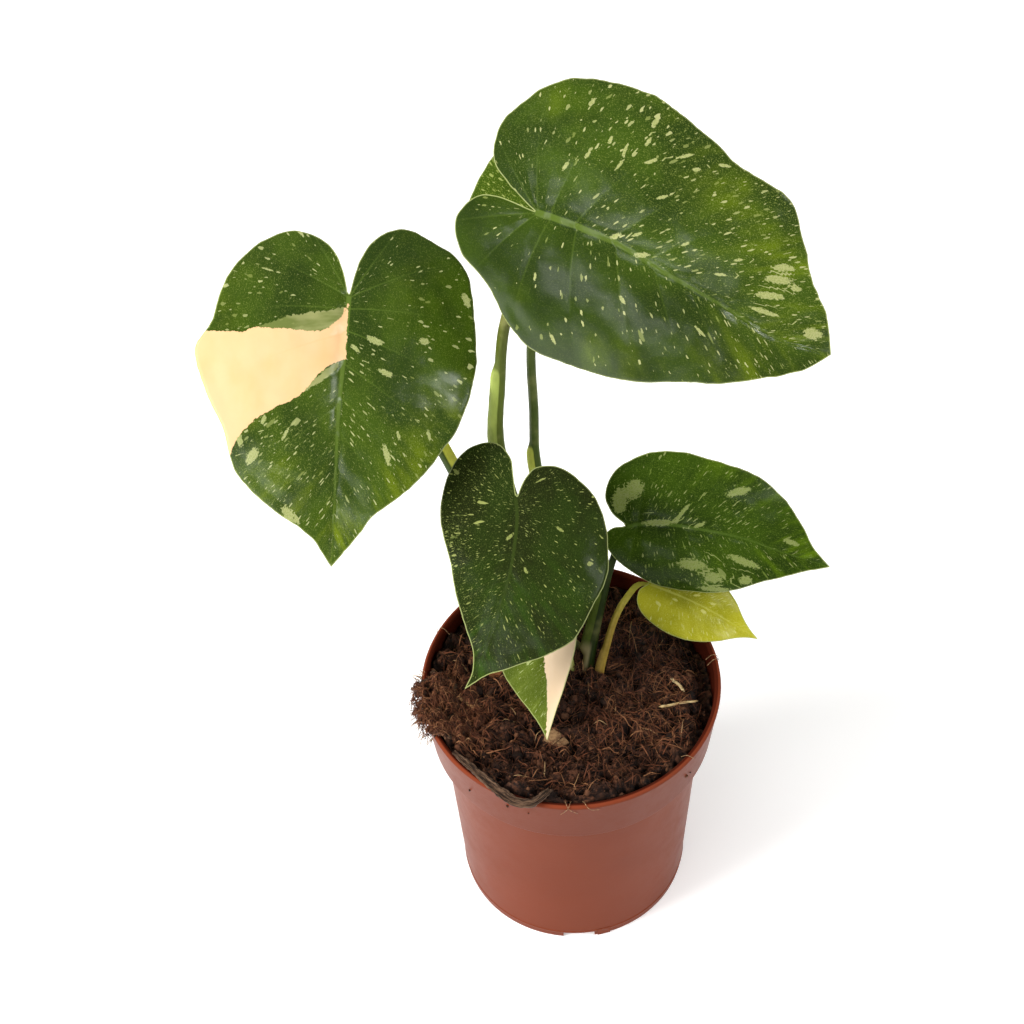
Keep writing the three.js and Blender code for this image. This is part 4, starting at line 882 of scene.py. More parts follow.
def depth_inside(polygon, points):
    """Distance to a polygon's boundary: positive inside, negative outside."""
    ring = np.vstack([polygon, polygon[:1]]).astype(float)
    inside = np.zeros(len(points), bool)
    x, y = points.T
    for (ax, ay), (bx, by) in zip(ring, ring[1:]):
        crosses = (ay > y) != (by > y)
        inside ^= crosses & (x < ax + (y - ay) * (bx - ax) / (by - ay if by != ay else 1e-9))
    return np.where(inside, 1, -1) * distance_to(ring, points)


def blade_grid(leaf, length):
    """Flat fan grid of a blade, from its rib out to both margins: its points, the share along the
    margin, the share outward and the side of each, faces, margin edges, rib and outline."""
    rib = Curve([(0, 0), *leaf["rib"], (length, 0)])
    margins = [Curve([(-SINUS_BACK, 0), *leaf[side], (length, 0)]) for side in ("left", "right")]
    for seed, margin in enumerate(margins):
        ripple_margin(margin, length, seed + 10)
    tests = np.linspace(0, 1, 401)
    lobe_shares = [tests[m.at(tests)[:, 0] < LOBE_END * length].max() for m in margins]
    main = round(max(m.length * (1 - s) for m, s in zip(margins, lobe_shares)) / BLADE_STEP)
    main_share = np.arange(main + 1) / main
    rib_points = rib.at(main_share ** VEIN_ADVANCE)
    widest = max(np.linalg.norm(m.at(s) - rib_points[0]) for m, s in zip(margins, lobe_shares))
    rings = round(widest / BLADE_STEP)
    outward = np.arange(rings + 1) / rings
    notch = outward[1:, None] * [(-SINUS_BACK, 0)]
    flat = [rib_points, notch]
    shares = [main_share, np.zeros(rings)]
    rises = [np.zeros(main + 1), outward[1:]]
    sides = [np.zeros(main + 1 + rings, int)]
    used = main + 1 + rings
    faces, edges = [], []
    for side, (margin, lobe_share) in enumerate(zip(margins, lobe_shares)):
        lobe = round(margin.length * lobe_share / BLADE_STEP)
        lobe_at = lobe_share * np.arange(lobe) / lobe
        at = np.concatenate([lobe_at, lobe_share + (1 - lobe_share) * main_share])
        starts = np.vstack([np.repeat(rib_points[:1], lobe, 0), rib_points])
        ends = margin.at(at)
        count = lobe + main
        ids = np.empty((count + 1, rings + 1), int)
        ids[:, 0] = np.concatenate([np.zeros(lobe, int), np.arange(main + 1)])
        ids[0, 1:] = main + 1 + np.arange(rings)
        ids[-1, :] = main
        inner = (count - 1) * rings
        ids[1:-1, 1:] = used + np.arange(inner).reshape(count - 1, rings)
        used += inner
        grid = starts[1:-1, None] + (ends - starts)[1:-1, None] * outward[None, 1:, None]
        flat.append(grid.reshape(-1, 2))
        shares.append(np.repeat(at[1:-1], rings))
        rises.append(np.tile(outward[1:], count - 1))
        sides.append(np.full(inner, side))
        a, b, c, d = ids[:-1, :-1], ids[1:, :-1], ids[1:, 1:], ids[:-1, 1:]
        halves = [(a, b, c), (a, c, d)] if side == 0 else [(a, c, b), (a, d, c)]
        for trio in halves:
            t = np.stack(trio, -1).reshape(-1, 3)
            faces.append(t[(t[:, 0] != t[:, 1]) & (t[:, 1] != t[:, 2]) & (t[:, 0] != t[:, 2])])
        rim = np.stack([ids[:-1, -1], ids[1:, -1]], -1)
        edges.append(rim if side == 0 else rim[:, ::-1])
    along = np.linspace(0, 1, 260)
    return SimpleNamespace(
        flat=np.vstack(flat), share=np.concatenate(shares), rise=np.concatenate(rises),
        side=np.concatenate(sides), faces=np.vstack(faces), edges=np.vstack(edges), rib=rib,
        outline=np.vstack([margins[0].at(along), margins[1].at(along[::-1])]))


def lateral_flow(flat, side, rib):
    """Which lateral passes each flat point, as a running number, the spacing of the laterals there in
    mm, and the distance run from the rib."""
    order = np.arange(len(LATERAL_STARTS))
    fine = np.linspace(0, order[-1], STEPS_BETWEEN_LATERALS * order[-1] + 1)
    mirror = np.where(side == 0, 1.0, -1.0)
    x, y = flat.T

    def ahead(number):
        """How far each point lies ahead of a lateral, in mm."""
        start = np.interp(number, order, LATERAL_STARTS)
        start = np.where(mirror > 0, start, np.minimum(1, start * RIGHT_STARTS_SHIFT))
        angle = np.radians(np.interp(number, order, LATERAL_DEGREES))
        origin = rib.at(start)
        run = np.hypot(x - origin[:, 0], y - origin[:, 1])
        swept = x - origin[:, 0] - LATERAL_SWEEP * run ** 2
        return swept * np.sin(angle) - mirror * (y - origin[:, 1]) * np.cos(angle), run

    passed = np.zeros(len(flat), int)
    values = np.empty((len(fine), len(flat)))
    runs = np.empty((len(fine), len(flat)))
    for i, number in enumerate(fine):
        values[i], runs[i] = ahead(number)
        passed[values[i] >= 0] = i
    passed = np.minimum(passed, len(fine) - 2)
    every = np.arange(len(flat))
    here, after = values[passed, every], values[passed + 1, every]
    part = np.clip(here / np.maximum(here - after, 1e-6), 0, 1)
    number = (passed + part) * (fine[1] - fine[0])
    low = np.clip(np.floor(number), 0, order[-1] - 1).astype(int) * STEPS_BETWEEN_LATERALS
    spacing = np.abs(values[low, every]) + np.abs(values[low + STEPS_BETWEEN_LATERALS, every])
    return number, spacing, runs[passed, every]


def ripple_margin(margin, length, seed):
    """Fine unevenness of a margin, growing with the blade."""
    run = margin.share * margin.length
    calm = ease(run, 2, 14) * ease(margin.length - run, 1, 10)
    along = np.column_stack([run, 0 * run, 0 * run])
    push = EDGE_RIPPLE * length * calm * rough_noise(along, RIPPLE_SIZE, 3, seed)
    ahead = unit(np.gradient(margin.dense, axis=0))
    margin.dense = margin.dense + push[:, None] * ahead[:, ::-1] * [1, -1]


def spread(flat, spots):
    """Sum of soft round spots, each with a place, a radius in mm and a strength."""
    total = np.zeros(len(flat))
    for x, y, radius, strength in spots:
        total += strength * hill(np.hypot(*(flat - (x, y)).T), radius)
    return total


def fleck_places(flat, flecks):
    """For each flat point, its place on the nearest listed fleck in half lengths and half widths."""
    best = np.full((len(flat), 3), FAR)
    for x, y, half_length, half_width, turn in flecks:
        local = flat - (x, y)
        p = (local[:, 0] * math.cos(turn) + local[:, 1] * math.sin(turn)) / half_length
        q = (local[:, 1] * math.cos(turn) - local[:, 0] * math.sin(turn)) / half_width
        near = np.hypot(p, q)
        closer = near < best[:, 2]
        best[closer] = np.stack([p, q, near], 1)[closer]
    return best


def measured_grid(leaf, length):
    """The blade's grid with the distances in mm that its relief and its markings follow."""
    grid = blade_grid(leaf, length)
    grid.length = length
    grid.off_rib = distance_to(grid.rib.at(np.linspace(0, 1, 90)), grid.flat)
    grid.margin = distance_to(grid.outline, grid.flat)
    grid.number, grid.spacing, grid.run = lateral_flow(grid.flat, grid.side, grid.rib)
    drawn = (grid.number > 0.5) & (grid.number < len(LATERAL_STARTS) - 1.5)
    off_vein = np.abs(grid.number - np.round(grid.number)) * grid.spacing
    grid.off_vein = np.where(drawn, off_vein, grid.spacing)
    return grid


def blade_relief(leaf, quilting, seed, grid):
    """How far the upper and the lower skin of a blade lie off its bent sheet, in mm."""
    x, y = grid.flat.T
    height, count, phases = leaf["wave"]
    wave = (height * grid.rise ** WAVE_RISE * np.sin(math.pi * grid.share)
            * np.sin(2 * math.pi * count * grid.share + np.array(phases)[grid.side]))
    taper = 1 - RIB_TAPER * np.clip(x, 0, None) / grid.length
    calm = ease(grid.margin, 0, CALM_EDGE)
    near_rib = np.exp(-grid.run / QUILT_RUN) * (1 - QUILT_LEAST) + QUILT_LEAST
    strength = quilting * near_rib * (1 - QUILT_FADE * ease(x, QUILT_FADES_FROM, QUILT_FADES_TO))
    quilt = QUILT_HEIGHT * (1 - np.exp(-grid.off_vein / QUILT_WIDTH)) * strength * calm
    valley = -VALLEY_DEPTH * taper * hill(grid.off_rib, VALLEY_WIDTH * taper)
    ridge = RIDGE_HEIGHT * taper * hill(grid.off_rib, RIDGE_WIDTH * taper + LEAST_RIB_WIDTH)
    roll = ROLL_HEIGHT * rough_noise(np.column_stack([x, y, 0 * x]), ROLL_SIZE, 2, seed) * calm
    rounding = ease(grid.margin, 0, EDGE_ROUND)
    thickness = EDGE_THICKNESS + (MIDDLE_THICKNESS - EDGE_THICKNESS) * rounding
    under_rib = (RIB_DEPTH * taper * hill(grid.off_rib, UNDER_RIB_WIDTH * taper + LEAST_RIB_WIDTH)
                 * ease(grid.margin, 0, 3))
    under_vein = UNDER_VEIN_HEIGHT * hill(grid.off_vein, UNDER_VEIN_WIDTH) * strength * calm
    sheet = wave + roll - SHEET_DROP * calm
    upper = sheet + quilt + valley + ridge
    return upper, sheet + 0.5 * (quilt + valley) - thickness - under_rib - under_vein


def blade_layers(tones, grid):
    """What a blade's material reads at each flat point."""
    flat = grid.flat
    zones = np.full((len(flat), 3), -FAR)
    for column, key in enumerate(("cream", "grey")):
        if key in tones:
            zones[:, column] = depth_inside(np.array(tones[key], float), flat)
    even, to_tip, to_left = tones["busy"]
    busy = even + to_tip * flat[:, 0] / grid.length + to_left * flat[:, 1] / 40
    zones[:, 2] = np.clip(busy + spread(flat, tones.get("thick", ())), 0.05, 1.8)
    signed = np.where(grid.side == 0, 1, -1) * grid.off_rib
    return dict(
        flat=np.column_stack([flat, signed]),
        flow=np.column_stack([grid.number, grid.spacing, grid.run]),
        zone=zones,
        fleck=fleck_places(flat, tones["flecks"]),
        margin=grid.margin,
        sun=spread(flat, tones.get("sunny", ())),
    )


def add_blade(name, leaf, tones):
    place = leaf_frame(leaf)
    grid = measured_grid(leaf, place["length"])
    sheet, normals = bend(leaf, place, *grid.flat.T)
    upper, lower = blade_relief(leaf, tones["quilt"], len(name), grid)
    points = np.vstack([sheet + upper[:, None] * normals, sheet + lower[:, None] * normals])
    under = len(sheet)
    triangles = np.vstack([grid.faces, grid.faces[:, [0, 2, 1]] + under])
    strip = np.column_stack([grid.edges, grid.edges[:, ::-1] + under])
    layers = blade_layers(tones, grid)
    attributes = {key: np.concatenate([values, values]) for key, values in layers.items()}
    attributes["under"] = np.repeat([0, 1], under)
    add_piece(f"blade_{name}", points, triangles.tolist() + strip.tolist(),
              leaf_look(name, tones, grid.length), (f"leaf_{name}",), attributes)


def leaf_look(name, tones, length):
    """Green ground, veins, flecks and cream, laid over each other in that order."""
    look = Look(f"leaf_{name}", tones["dark"])
    at = SimpleNamespace(flat=look.attribute("flat"), length=length)
    at.x, _, at.signed = look.split(at.flat)
    at.number, at.spacing, at.run = look.split(look.attribute("flow"))
    at.cream, at.grey, at.busy = look.split(look.attribute("zone"))
    at.margin, at.under = look.value("margin"), look.value("under")
    right = look.below(at.signed, 0.0)
    across = look.sum(look.times(at.number, FLOW_SPACING), look.times(right, RIGHT_SIDE_SHIFT))
    at.flow = look.join(across, look.times(at.run, FLOW_STRETCH))
    at.grain = look.noise(at.flat, 1.9, 3.0, 0.7)
    at.patch = look.noise(at.flow, 0.19, 3.0)
    lay_green(look, at, tones)
    lateral = lay_laterals(look, at, tones)
    lay_scattered_flecks(look, at, tones)
    lay_rib(look, at, tones)
    lay_placed_flecks(look, at, tones)
    lay_cream(look, at, tones, lateral)
    look.lay(PALE_EDGE, look.times(look.slide(at.margin, 0.5, 0.2), 0.65))
    look.lay(look.mix(0.55, look.colour, UNDERSIDE), at.under)
    gloss = look.slide(look.noise(at.flat, 0.3, 2.0), 0.3, 0.7, 0.15, 0.21)
    relief = look.sum(look.times(at.grain, 0.5), look.noise(at.flat, 3.0, 2.0))
    return look.finish(Roughness=look.sum(gloss, look.times(at.under, 0.25)),
                       Specular_IOR_Level=tones["shine"], Normal=look.bump(relief, 0.00006, 0.5))


def lay_green(look, at, tones):
    """Broad patches, sunny ones that follow the veins, and grains."""
    broad = look.noise(at.flat, 0.035 if at.length > 40 else 0.09, 3.0)
    look.step(tones["mid"], broad, 0.38, 0.62)
    sunny = look.times(look.slide(at.patch, 0.4, 0.75), look.slide(at.margin, 24, 1, 0.25, 0.6))
    sunny = look.times(sunny, look.slide(at.x, -0.1 * at.length, at.length, 0.25, 1.0))
    streaks = look.times(look.value("sun"), look.slide(at.patch, 0.3, 0.65, 0.2, 0.65))
    look.step(tones["bright"], look.sum(sunny, streaks), 0.0, 1.0)
    look.step(tones["dark"], at.grain, 0.52, 0.36, 0.0, 0.35)
    granules = look.times(look.slide(at.grain, 0.53, 0.66), look.sum(look.times(at.busy, 0.5), 0.12))
    look.lay(look.mix(0.3, tones["bright"], tones["fleck"]), granules)
    # Painted shade: the right half of the blade is laid darker.
    if "shade" in tones:
        look.step(tones["shade"], at.signed, 1, -8, 0.0, 0.35)


def lay_laterals(look, at, tones):
    off_lateral = look.times(look.size(look.minus(at.number, look.nearest(at.number))), at.spacing)
    drawn = look.times(look.below(0.5, at.number), look.slide(at.number, 9, 4, 0.12, 1.0))
    fading = look.slide(at.run, 40, 2, 0.04, tones["vein"])
    lateral = look.times(look.times(look.slide(off_lateral, 0.5, 0.1), fading), drawn)
    look.lay(tones["rib"], lateral)
    return lateral


def lay_scattered_flecks(look, at, tones):
    fine = tones.get("fine", 1.0)
    for cell, share, radii, ragged in SCATTERED:
        radii = tuple(radius * fine for radius in radii)
        mask, tone = look.flecks(at.flow, cell * fine, look.times(at.busy, share), radii, ragged)
        pale = look.mix(look.slide(tone, 0.3, 1.0, 0.0, 0.65), tones["fleck"], tones["bright"])
        look.lay(pale, look.times(mask, look.slide(tone, 0.0, 1.0, 0.95, 0.55)))


def lay_rib(look, at, tones):
    edge = look.slide(at.x, 0.0, at.length, *tones["rib_width"])
    inside = look.slide(look.minus(look.size(at.signed), edge), 0.3, -0.3)
    look.lay(tones["rib"], look.times(inside, look.slide(at.x, 0.1 * at.length, at.length, 0.85, 0.3)))


def lay_placed_flecks(look, at, tones):
    p, q, near = look.split(look.attribute("fleck"))
    ellipse = look.sum(look.times(p, p), look.times(q, q))
    ellipse = look.sum(ellipse, look.torn(at.flat, 0.9, 3.6, 0.7))
    placed = look.times(look.slide(ellipse, 1.0, 0.7), look.below(near, 3.0))
    spotted = look.mix(look.slide(at.grain, 0.45, 0.6, 0.0, 0.5), tones["fleck"], tones["bright"])
    look.lay(spotted, look.times(placed, 0.92))


def lay_cream(look, at, tones, lateral):
    """The cream sector and the grey-green that borders it."""
    grey_mask = look.slide(look.sum(at.grey, look.torn(at.flat, 0.45, 3.2)), -0.15, 0.15)
    look.lay(look.mix(look.slide(at.patch, 0.4, 0.6), *GREY_GREENS), look.times(grey_mask, 0.85))
    pale, warm = tones.get("creams", CREAMS)
    cream = look.mix(look.slide(look.noise(at.flat, 0.05, 3.0), 0.35, 0.75, 0.0, 0.6), pale, warm)
    cream = look.mix(look.times(lateral, 0.6), cream, warm)
    look.step(cream, look.sum(at.cream, look.torn(at.flat, 0.55, 2.2)), -0.1, 0.1)


# Petioles and stem

def tuck_under(points, leaf, place):
    """Moves what would come through a blade near its petiole down under it."""
    local = points - place["attach"]
    x, y, h = (local @ place[key] for key in ("along", "side", "normal"))
    cup = np.where(y > 0, leaf["cup"][0], leaf["cup"][1])
    away = np.abs(y)
    roof = (away * leaf["fold"] - cup * away ** 2 / 2 - leaf["droop"] * x ** 2 / 2 - BLADE_THICKNESS)
    near = ease(np.hypot(x, y), *TUCK_REACH)
    drop = np.where(x < TUCK_AHEAD, np.maximum(0, h - roof), 0) * near
    return points - drop[:, None] * place["normal"]


def add_petiole(name, leaf, tones):
    place = leaf_frame(leaf)
    end = place["attach"] - SEAT_DROP * place["normal"] - SEAT_BACK * place["along"]
    curve = Curve([*leaf["route"], end])
    share = np.linspace(0, 1, round(curve.length / PETIOLE_RING_STEP) + 1)
    width, start, stop = leaf["wing"]
    window = ease(share, start, start + WING_FADE) * ease(share, stop + WING_FADE, stop)
    flange = width * (1 - WING_TAPER * share / stop) * window
    thick = np.interp(share, [0, 0.5, 1], leaf["radius"])
    thick = thick * (1 - JOIN_THINNING * ease((1 - share) * curve.length, JOIN_LENGTH, 0))
    angle = round_turn(PETIOLE_SIDES)
    wing = np.clip(np.cos(angle), 0, None) ** WING_POWER
    channel = CHANNEL_DEPTH * hill(angle - math.pi / 2, CHANNEL_WIDTH)
    ribbing = 0.03 * np.cos(9 * angle) + 0.02 * np.cos(5 * angle + 1)
    reach = thick[:, None] * (1 - channel + ribbing) + flange[:, None] * wing
    centres = curve.at(share)
    rings = sweep(centres, curve.heading(share), leaf["toward"], reach)
    swell = 1 + 0.035 * rough_noise(rings.reshape(-1, 3), 7, 2, seed=3).reshape(reach.shape)
    rings = centres[:, None] + (rings - centres[:, None]) * swell[..., None]
    rings = tuck_under(rings.reshape(-1, 3), leaf, place).reshape(rings.shape)
    points, faces = loft(rings)
    stalk = np.stack(np.broadcast_arrays(share[:, None], np.cos(angle), window[:, None]), -1)
    stalk = np.vstack([stalk.reshape(-1, 3), stalk[0, 0], stalk[-1, 0]])
    add_piece(f"stalk_{name}", points, faces, petiole_look(name, tones),
              (f"petiole_{name}",), {"stalk": stalk})


def petiole_look(name, tones):
    base, middle, top, wing_tone, *foot = tones
    look = Look(f"petiole_{name}", base)
    share, across, wing = look.split(look.attribute("stalk"))
    place = look.object_place()
    fine = look.noise(look.stretched(place, 900, 900, 120), 1.0, 3.0)
    blot = look.noise(place, 90, 3.0)
    look.step(middle, share, 0.1, 0.45)
    look.step(top, share, 0.55, 0.95)
    look.step(wing_tone, look.times(wing, look.slide(across, 0.2, 0.8)), 0.2, 0.7)
    look.step(look.mix(0.4, look.colour, PETIOLE_DARK), fine, 0.35, 0.75, 0.0, 0.6)
    look.step(look.mix(0.35, look.colour, PETIOLE_PALE), blot, 0.5, 0.8, 0.0, 0.7)
    if foot:
        look.lay(foot[0], look.times(look.slide(across, -0.2, 0.5), look.slide(share, 0.38, 0.32)))
    look.step(DIRT, look.sum(share, look.times(blot, 0.12)), 0.25, 0.12, 0.0, 0.55)
    return look.finish(Roughness=look.slide(fine, 0.2, 0.8, 0.34, 0.5), Specular_IOR_Level=0.12,
                       Normal=look.bump(fine, 0.0002, 0.5))


def add_stem():
    share = np.linspace(0, 1, STEM_RINGS)
    base, top = np.array(STEM_BASE, float), np.array(STEM_TOP, float)
    centres = base + share[:, None] * (top - base)
    radius = STEM_RADIUS * np.interp(share, *zip(*STEM_OUTLINE))
    nodes = 0.05 * np.cos(2 * math.pi * share * STEM_NODES)[:, None]
    lobes = 0.04 * np.cos(3 * round_turn(STEM_SIDES) + 0.5)
    points, faces = loft(sweep(centres, unit(top - base), (1, 0, 0), radius[:, None] * (1 + nodes + lobes)))
    points = points + 0.15 * rough_noise(points, 3, 2, seed=5)[:, None] * unit(points - STEM_MIDDLE)
    add_piece("stem_piece", points, faces, stem_look(), ("stem",))


def stem_look():
    look = Look("stem", (84, 92, 46))
    place = look.object_place()
    bark = look.noise(look.stretched(place, 500, 500, 160), 1.0, 3.0)
    look.step((128, 122, 68), bark, 0.35, 0.65)
    look.step((96, 70, 44), look.noise(place, 260, 3.0), 0.5, 0.7)
    return look.finish(Roughness=look.slide(bark, 0, 1, 0.55, 0.8), Normal=look.bump(bark, 0.0004, 0.6))


# Pot

def pot_radius(z):
    if z >= SHOULDER:
        return COLLAR_FOOT_RADIUS + (RIM_RADIUS - COLLAR_FOOT_RADIUS) * (z - SHOULDER) / COLLAR_HEIGHT
    return FOOT_RADIUS + (WALL_TOP_RADIUS - FOOT_RADIUS) * z / SHOULDER


def pot_inner_radius(z):
    if UNDER_SHOULDER < z < SHOULDER:
        t = (z - UNDER_SHOULDER) / SHOULDER_HEIGHT
        low = pot_radius(UNDER_SHOULDER)
        return low + (COLLAR_FOOT_RADIUS - low) * t - WALL
    return pot_radius(z) - WALL


def on_wall(z, proud=0):
    """A point of the profile on the outside of the wall."""
    return pot_radius(z) + proud, z


def on_lining(z, gap=0):
    """A point of the profile on the inside of the wall, or a gap away from it."""
    return pot_inner_radius(z) - gap, z


def round_corners(profile, radius, steps=4):
    """The profile with each inner corner replaced by a short curve."""
    made = [profile[0]]
    for a, b, c in zip(profile, profile[1:], profile[2:]):
        a, b, c = (np.array(p, float) for p in (a, b, c))
        before, after = np.linalg.norm(a - b), np.linalg.norm(c - b)
        cut = min(radius, 0.45 * before, 0.45 * after)
        start, end = b + (a - b) / before * cut, b + (c - b) / after * cut
        for t in np.arange(steps + 1) / steps:
            made.append(tuple((1 - t) ** 2 * start + 2 * t * (1 - t) * b + t ** 2 * end))
    made.append(profile[-1])
    return made


def lathe(profile, segments):
    """Points and faces of a closed body turned round +Z from a profile that starts and ends on it."""
    inner = np.array(profile[1:-1], float)
    points, faces = loft(polar(inner[:, :1], round_turn(segments), inner[:, 1:]))
    points[-2] = (0, 0, profile[0][1])
    points[-1] = (0, 0, profile[-1][1])
    return points, faces


def box_mesh(size, centre, turn):
    corners = np.array([(x, y, z) for x in (-1, 1) for y in (-1, 1) for z in (-1, 1)], float) / 2
    points = corners * size + centre
    c, s = math.cos(turn), math.sin(turn)
    points = points @ np.array([[c, s, 0], [-s, c, 0], [0, 0, 1]])
    return points, [[0, 1, 3, 2], [4, 6, 7, 5], [0, 4, 5, 1], [2, 3, 7, 6], [0, 2, 6, 4], [1, 5, 7, 3]]


def boolean(piece, parts, operation):
    """Cuts or joins closed bodies, in mm, into a piece."""
    tool = add_object("tool", new_mesh("tool", *join_meshes(parts)))
    modifier = piece.modifiers.new("shape", "BOOLEAN")
    modifier.operation = operation
    modifier.object = tool
    modifier.solver = "EXACT"
    shaped = piece.evaluated_get(bpy.context.evaluated_depsgraph_get())
    made = bpy.data.meshes.new_from_object(shaped)
    piece.modifiers.clear()
    piece.data = made
    bpy.data.objects.remove(tool)


def pot_profile():
    """The pot's section, up the outside, over the lip and down the inside."""
    foot_inner = FOOT_RADIUS - WALL
    lip = POT_HEIGHT - LIP_WIDTH / 2
    lip_centre = RIM_RADIUS - LIP_WIDTH / 2
    outside = [(0, 0), (PAD_RADIUS, 0), (PAD_RADIUS + PAD_STEP, FLOOR_UNDERSIDE),
               (foot_inner, FLOOR_UNDERSIDE), (foot_inner, 0), (FOOT_RADIUS, 0),
               on_wall(FOOT_LINE_HEIGHT - EDGE_EASE), on_wall(FOOT_LINE_HEIGHT, FOOT_LINE_RELIEF),
               on_wall(FOOT_LINE_HEIGHT + EDGE_EASE), on_wall(UNDER_SHOULDER),
               (COLLAR_FOOT_RADIUS, SHOULDER - EDGE_EASE / 2), on_wall(lip - 1)]
    arc = [(lip_centre + math.cos(a) * LIP_WIDTH / 2, lip + math.sin(a) * LIP_WIDTH / 2)
           for a in np.linspace(0, math.pi, LIP_STEPS)]
    inside = [on_lining(lip - LIP_WIDTH), on_lining(SHOULDER), on_lining(UNDER_SHOULDER),
              on_lining(FLOOR_TOP + FLOOR_COVE), on_lining(FLOOR_TOP, FLOOR_COVE),
              (PAD_RADIUS, FLOOR_TOP), (PAD_RADIUS - PAD_STEP, WALL), (0, WALL)]
    return round_corners(outside, EDGE_EASE) + arc + round_corners(inside, EDGE_EASE)


def add_pot():
    foot_inner = FOOT_RADIUS - WALL
    points, faces = lathe(pot_profile(), POT_SEGMENTS)
    pot = add_piece("pot_piece", points, faces, pot_look(), ("pot",))
    tab_centre = (foot_inner + TAB_RELIEF, 0, FOOT_LINE_HEIGHT / 2 + EDGE_EASE)
    tab = box_mesh((2 * WALL, TAB_WIDTH, FOOT_LINE_HEIGHT), tab_centre, math.radians(TAB_DEG))
    boolean(pot, [tab], "UNION")
    notch = (5 * WALL, NOTCH_WIDTH, 2 * NOTCH_HEIGHT)
    cuts = [box_mesh(notch, (foot_inner, 0, 0), turn)
            for turn in round_turn(NOTCH_COUNT) + math.radians(FIRST_NOTCH_DEG)]
    low, high = DRAIN_CUT
    hole, hole_faces = lathe([(0, low), (DRAIN_RADIUS, low), (DRAIN_RADIUS, high), (0, high)], DRAIN_SIDES)
    for turn in round_turn(DRAIN_COUNT) + math.pi / DRAIN_COUNT:
        cuts.append((hole + polar(DRAIN_RING_RADIUS, turn, 0), hole_faces))
    boolean(pot, cuts, "DIFFERENCE")
    pot.data.shade_smooth()
    pot.data.set_sharp_from_angle(angle=math.radians(SHARP_DEG))


def pot_look():
    look = Look("pot_plastic", POT_RED)
    place = look.object_place()
    x, y, height = look.split(place)
    scuff = look.noise(place, 120, 6.0, 0.75)
    look.step(POT_WARM, look.noise(place, 14, 3.0), 0.3, 0.7)
    look.step(POT_FOOT, height, 0.06, 0.0, 0.0, 0.35)
    # Painted shade: the collar and everything above it are laid darker.
    look.step(POT_COLLAR_PAINTED_SHADE, height, 0.0945, 0.0955, 0.0, 0.3)
    look.step(POT_SCUFF, scuff, 0.6, 0.85, 0.0, 0.14)
    look.step(POT_LIP, height, 0.1186, 0.1198, 0.0, 0.6)
    # Painted shade: the inner face of the pot near the top is laid dark.
    reach = look.vector("LENGTH", {0: look.join(x, y)})["Value"]
    lean = (RIM_RADIUS - COLLAR_FOOT_RADIUS) / COLLAR_HEIGHT
    wall = look.sum(look.times(height, lean), (COLLAR_FOOT_RADIUS - SHOULDER * lean) * MM)
    within = look.slide(look.minus(wall, reach), 0.0008, 0.0014)
    look.lay(POT_INSIDE_PAINTED_SHADE, look.times(within, look.slide(height, 0.088, 0.096)))
    dust = look.times(look.slide(look.noise(place, 55, 5.0, 0.7), 0.55, 0.75),
                      look.slide(height, 0.09, 0.12, 0.0, 0.45))
    look.lay(POT_DUST, dust)
    rough = look.sum(look.slide(scuff, 0.3, 0.8, 0.3, 0.4), look.times(dust, 0.3))
    return look.finish(Roughness=rough, IOR=POT_IOR,
                       Normal=look.bump(look.noise(place, 900, 2.0), 0.00004, 0.5))


# Potting mix

def random_source(seed):
    """The frame's own repeatable numbers from 0 to 1."""
    state = seed
    mask = 0xFFFFFFFF

    def draw():
        nonlocal state
        state = (state + 0x6D2B79F5) & mask
        t = ((state ^ (state >> 15)) * (1 | state)) & mask
        t = ((t + ((t ^ (t >> 7)) * (61 | t))) & mask) ^ t
        return (t ^ (t >> 14)) / 2 ** 32

    return draw


def ripples():
    """Wave number along x and y, and phase, of each ripple."""
    draw = random_source(RIPPLE_SEED)
    made = []
    for wavelength in np.linspace(*RIPPLE_WAVELENGTHS, RIPPLE_COUNT):
        heading = 2 * math.pi * draw()
        across = 2 * math.pi / wavelength
        made.append((math.cos(heading) * across, math.sin(heading) * across, 2 * math.pi * draw()))
    return made


RIPPLES = ripples()


def mix_height(x, y):
    """Height of the mix in the frame, before its crumbs."""
    reach = np.hypot(x, y) / RIM_RADIUS
    to_heap = np.clip(np.cos(np.arctan2(y, x) - math.radians(MIX_HEAP_DEG)), 0, None)
    heap = MIX_HEAP * to_heap * reach ** 2
    edge = MIX_EDGE_DROP * reach ** MIX_EDGE_POWER * (1 - to_heap)
    rough = sum(np.sin(wx * x + wy * y + phase) for wx, wy, phase in RIPPLES)
    return MIX_LEVEL + heap - edge + RIPPLE_HEIGHT * rough


def soil_relief(x, y):
    """Clods, grains and pits of the mix, in mm."""
    flat = np.column_stack([x, y, 0 * x])
    clods = sum(height * np.abs(rough_noise(flat, size, 2, seed)) for height, size, seed in CLODS)
    height, size, seed = GRAINS
    grains = height * rough_noise(flat, size, 3, seed)
    depth, size, seed = PITS
    pits = depth * ease(rough_noise(flat, size, 2, seed), *PIT_STEP)
    return clods - CLODS_MIDDLE + grains - pits


def rim_rise(reach, bearing, height, radii, facing, cosines):
    """A rise of the mix towards the rim, on the side that faces a bearing."""
    return height * ease(reach, *radii) * ease(np.cos(bearing - facing), *cosines)


def soil_height(x, y):
    """Surface of the mix, banked up in front and heaped towards the clump that spills over the rim."""
    reach, bearing = np.hypot(x, y), np.arctan2(y, x)
    gap, bank = rim_rise(reach, bearing, *RIM_GAP), rim_rise(reach, bearing, *RIM_BANK)
    to_clump = hill(x - CLUMP_CENTRE[0], CLUMP_SLOPE[0]) * hill(y - CLUMP_CENTRE[1], CLUMP_SLOPE[1])
    return mix_height(x, y) + soil_relief(x, y) - gap + bank + CLUMP_RISE * to_clump


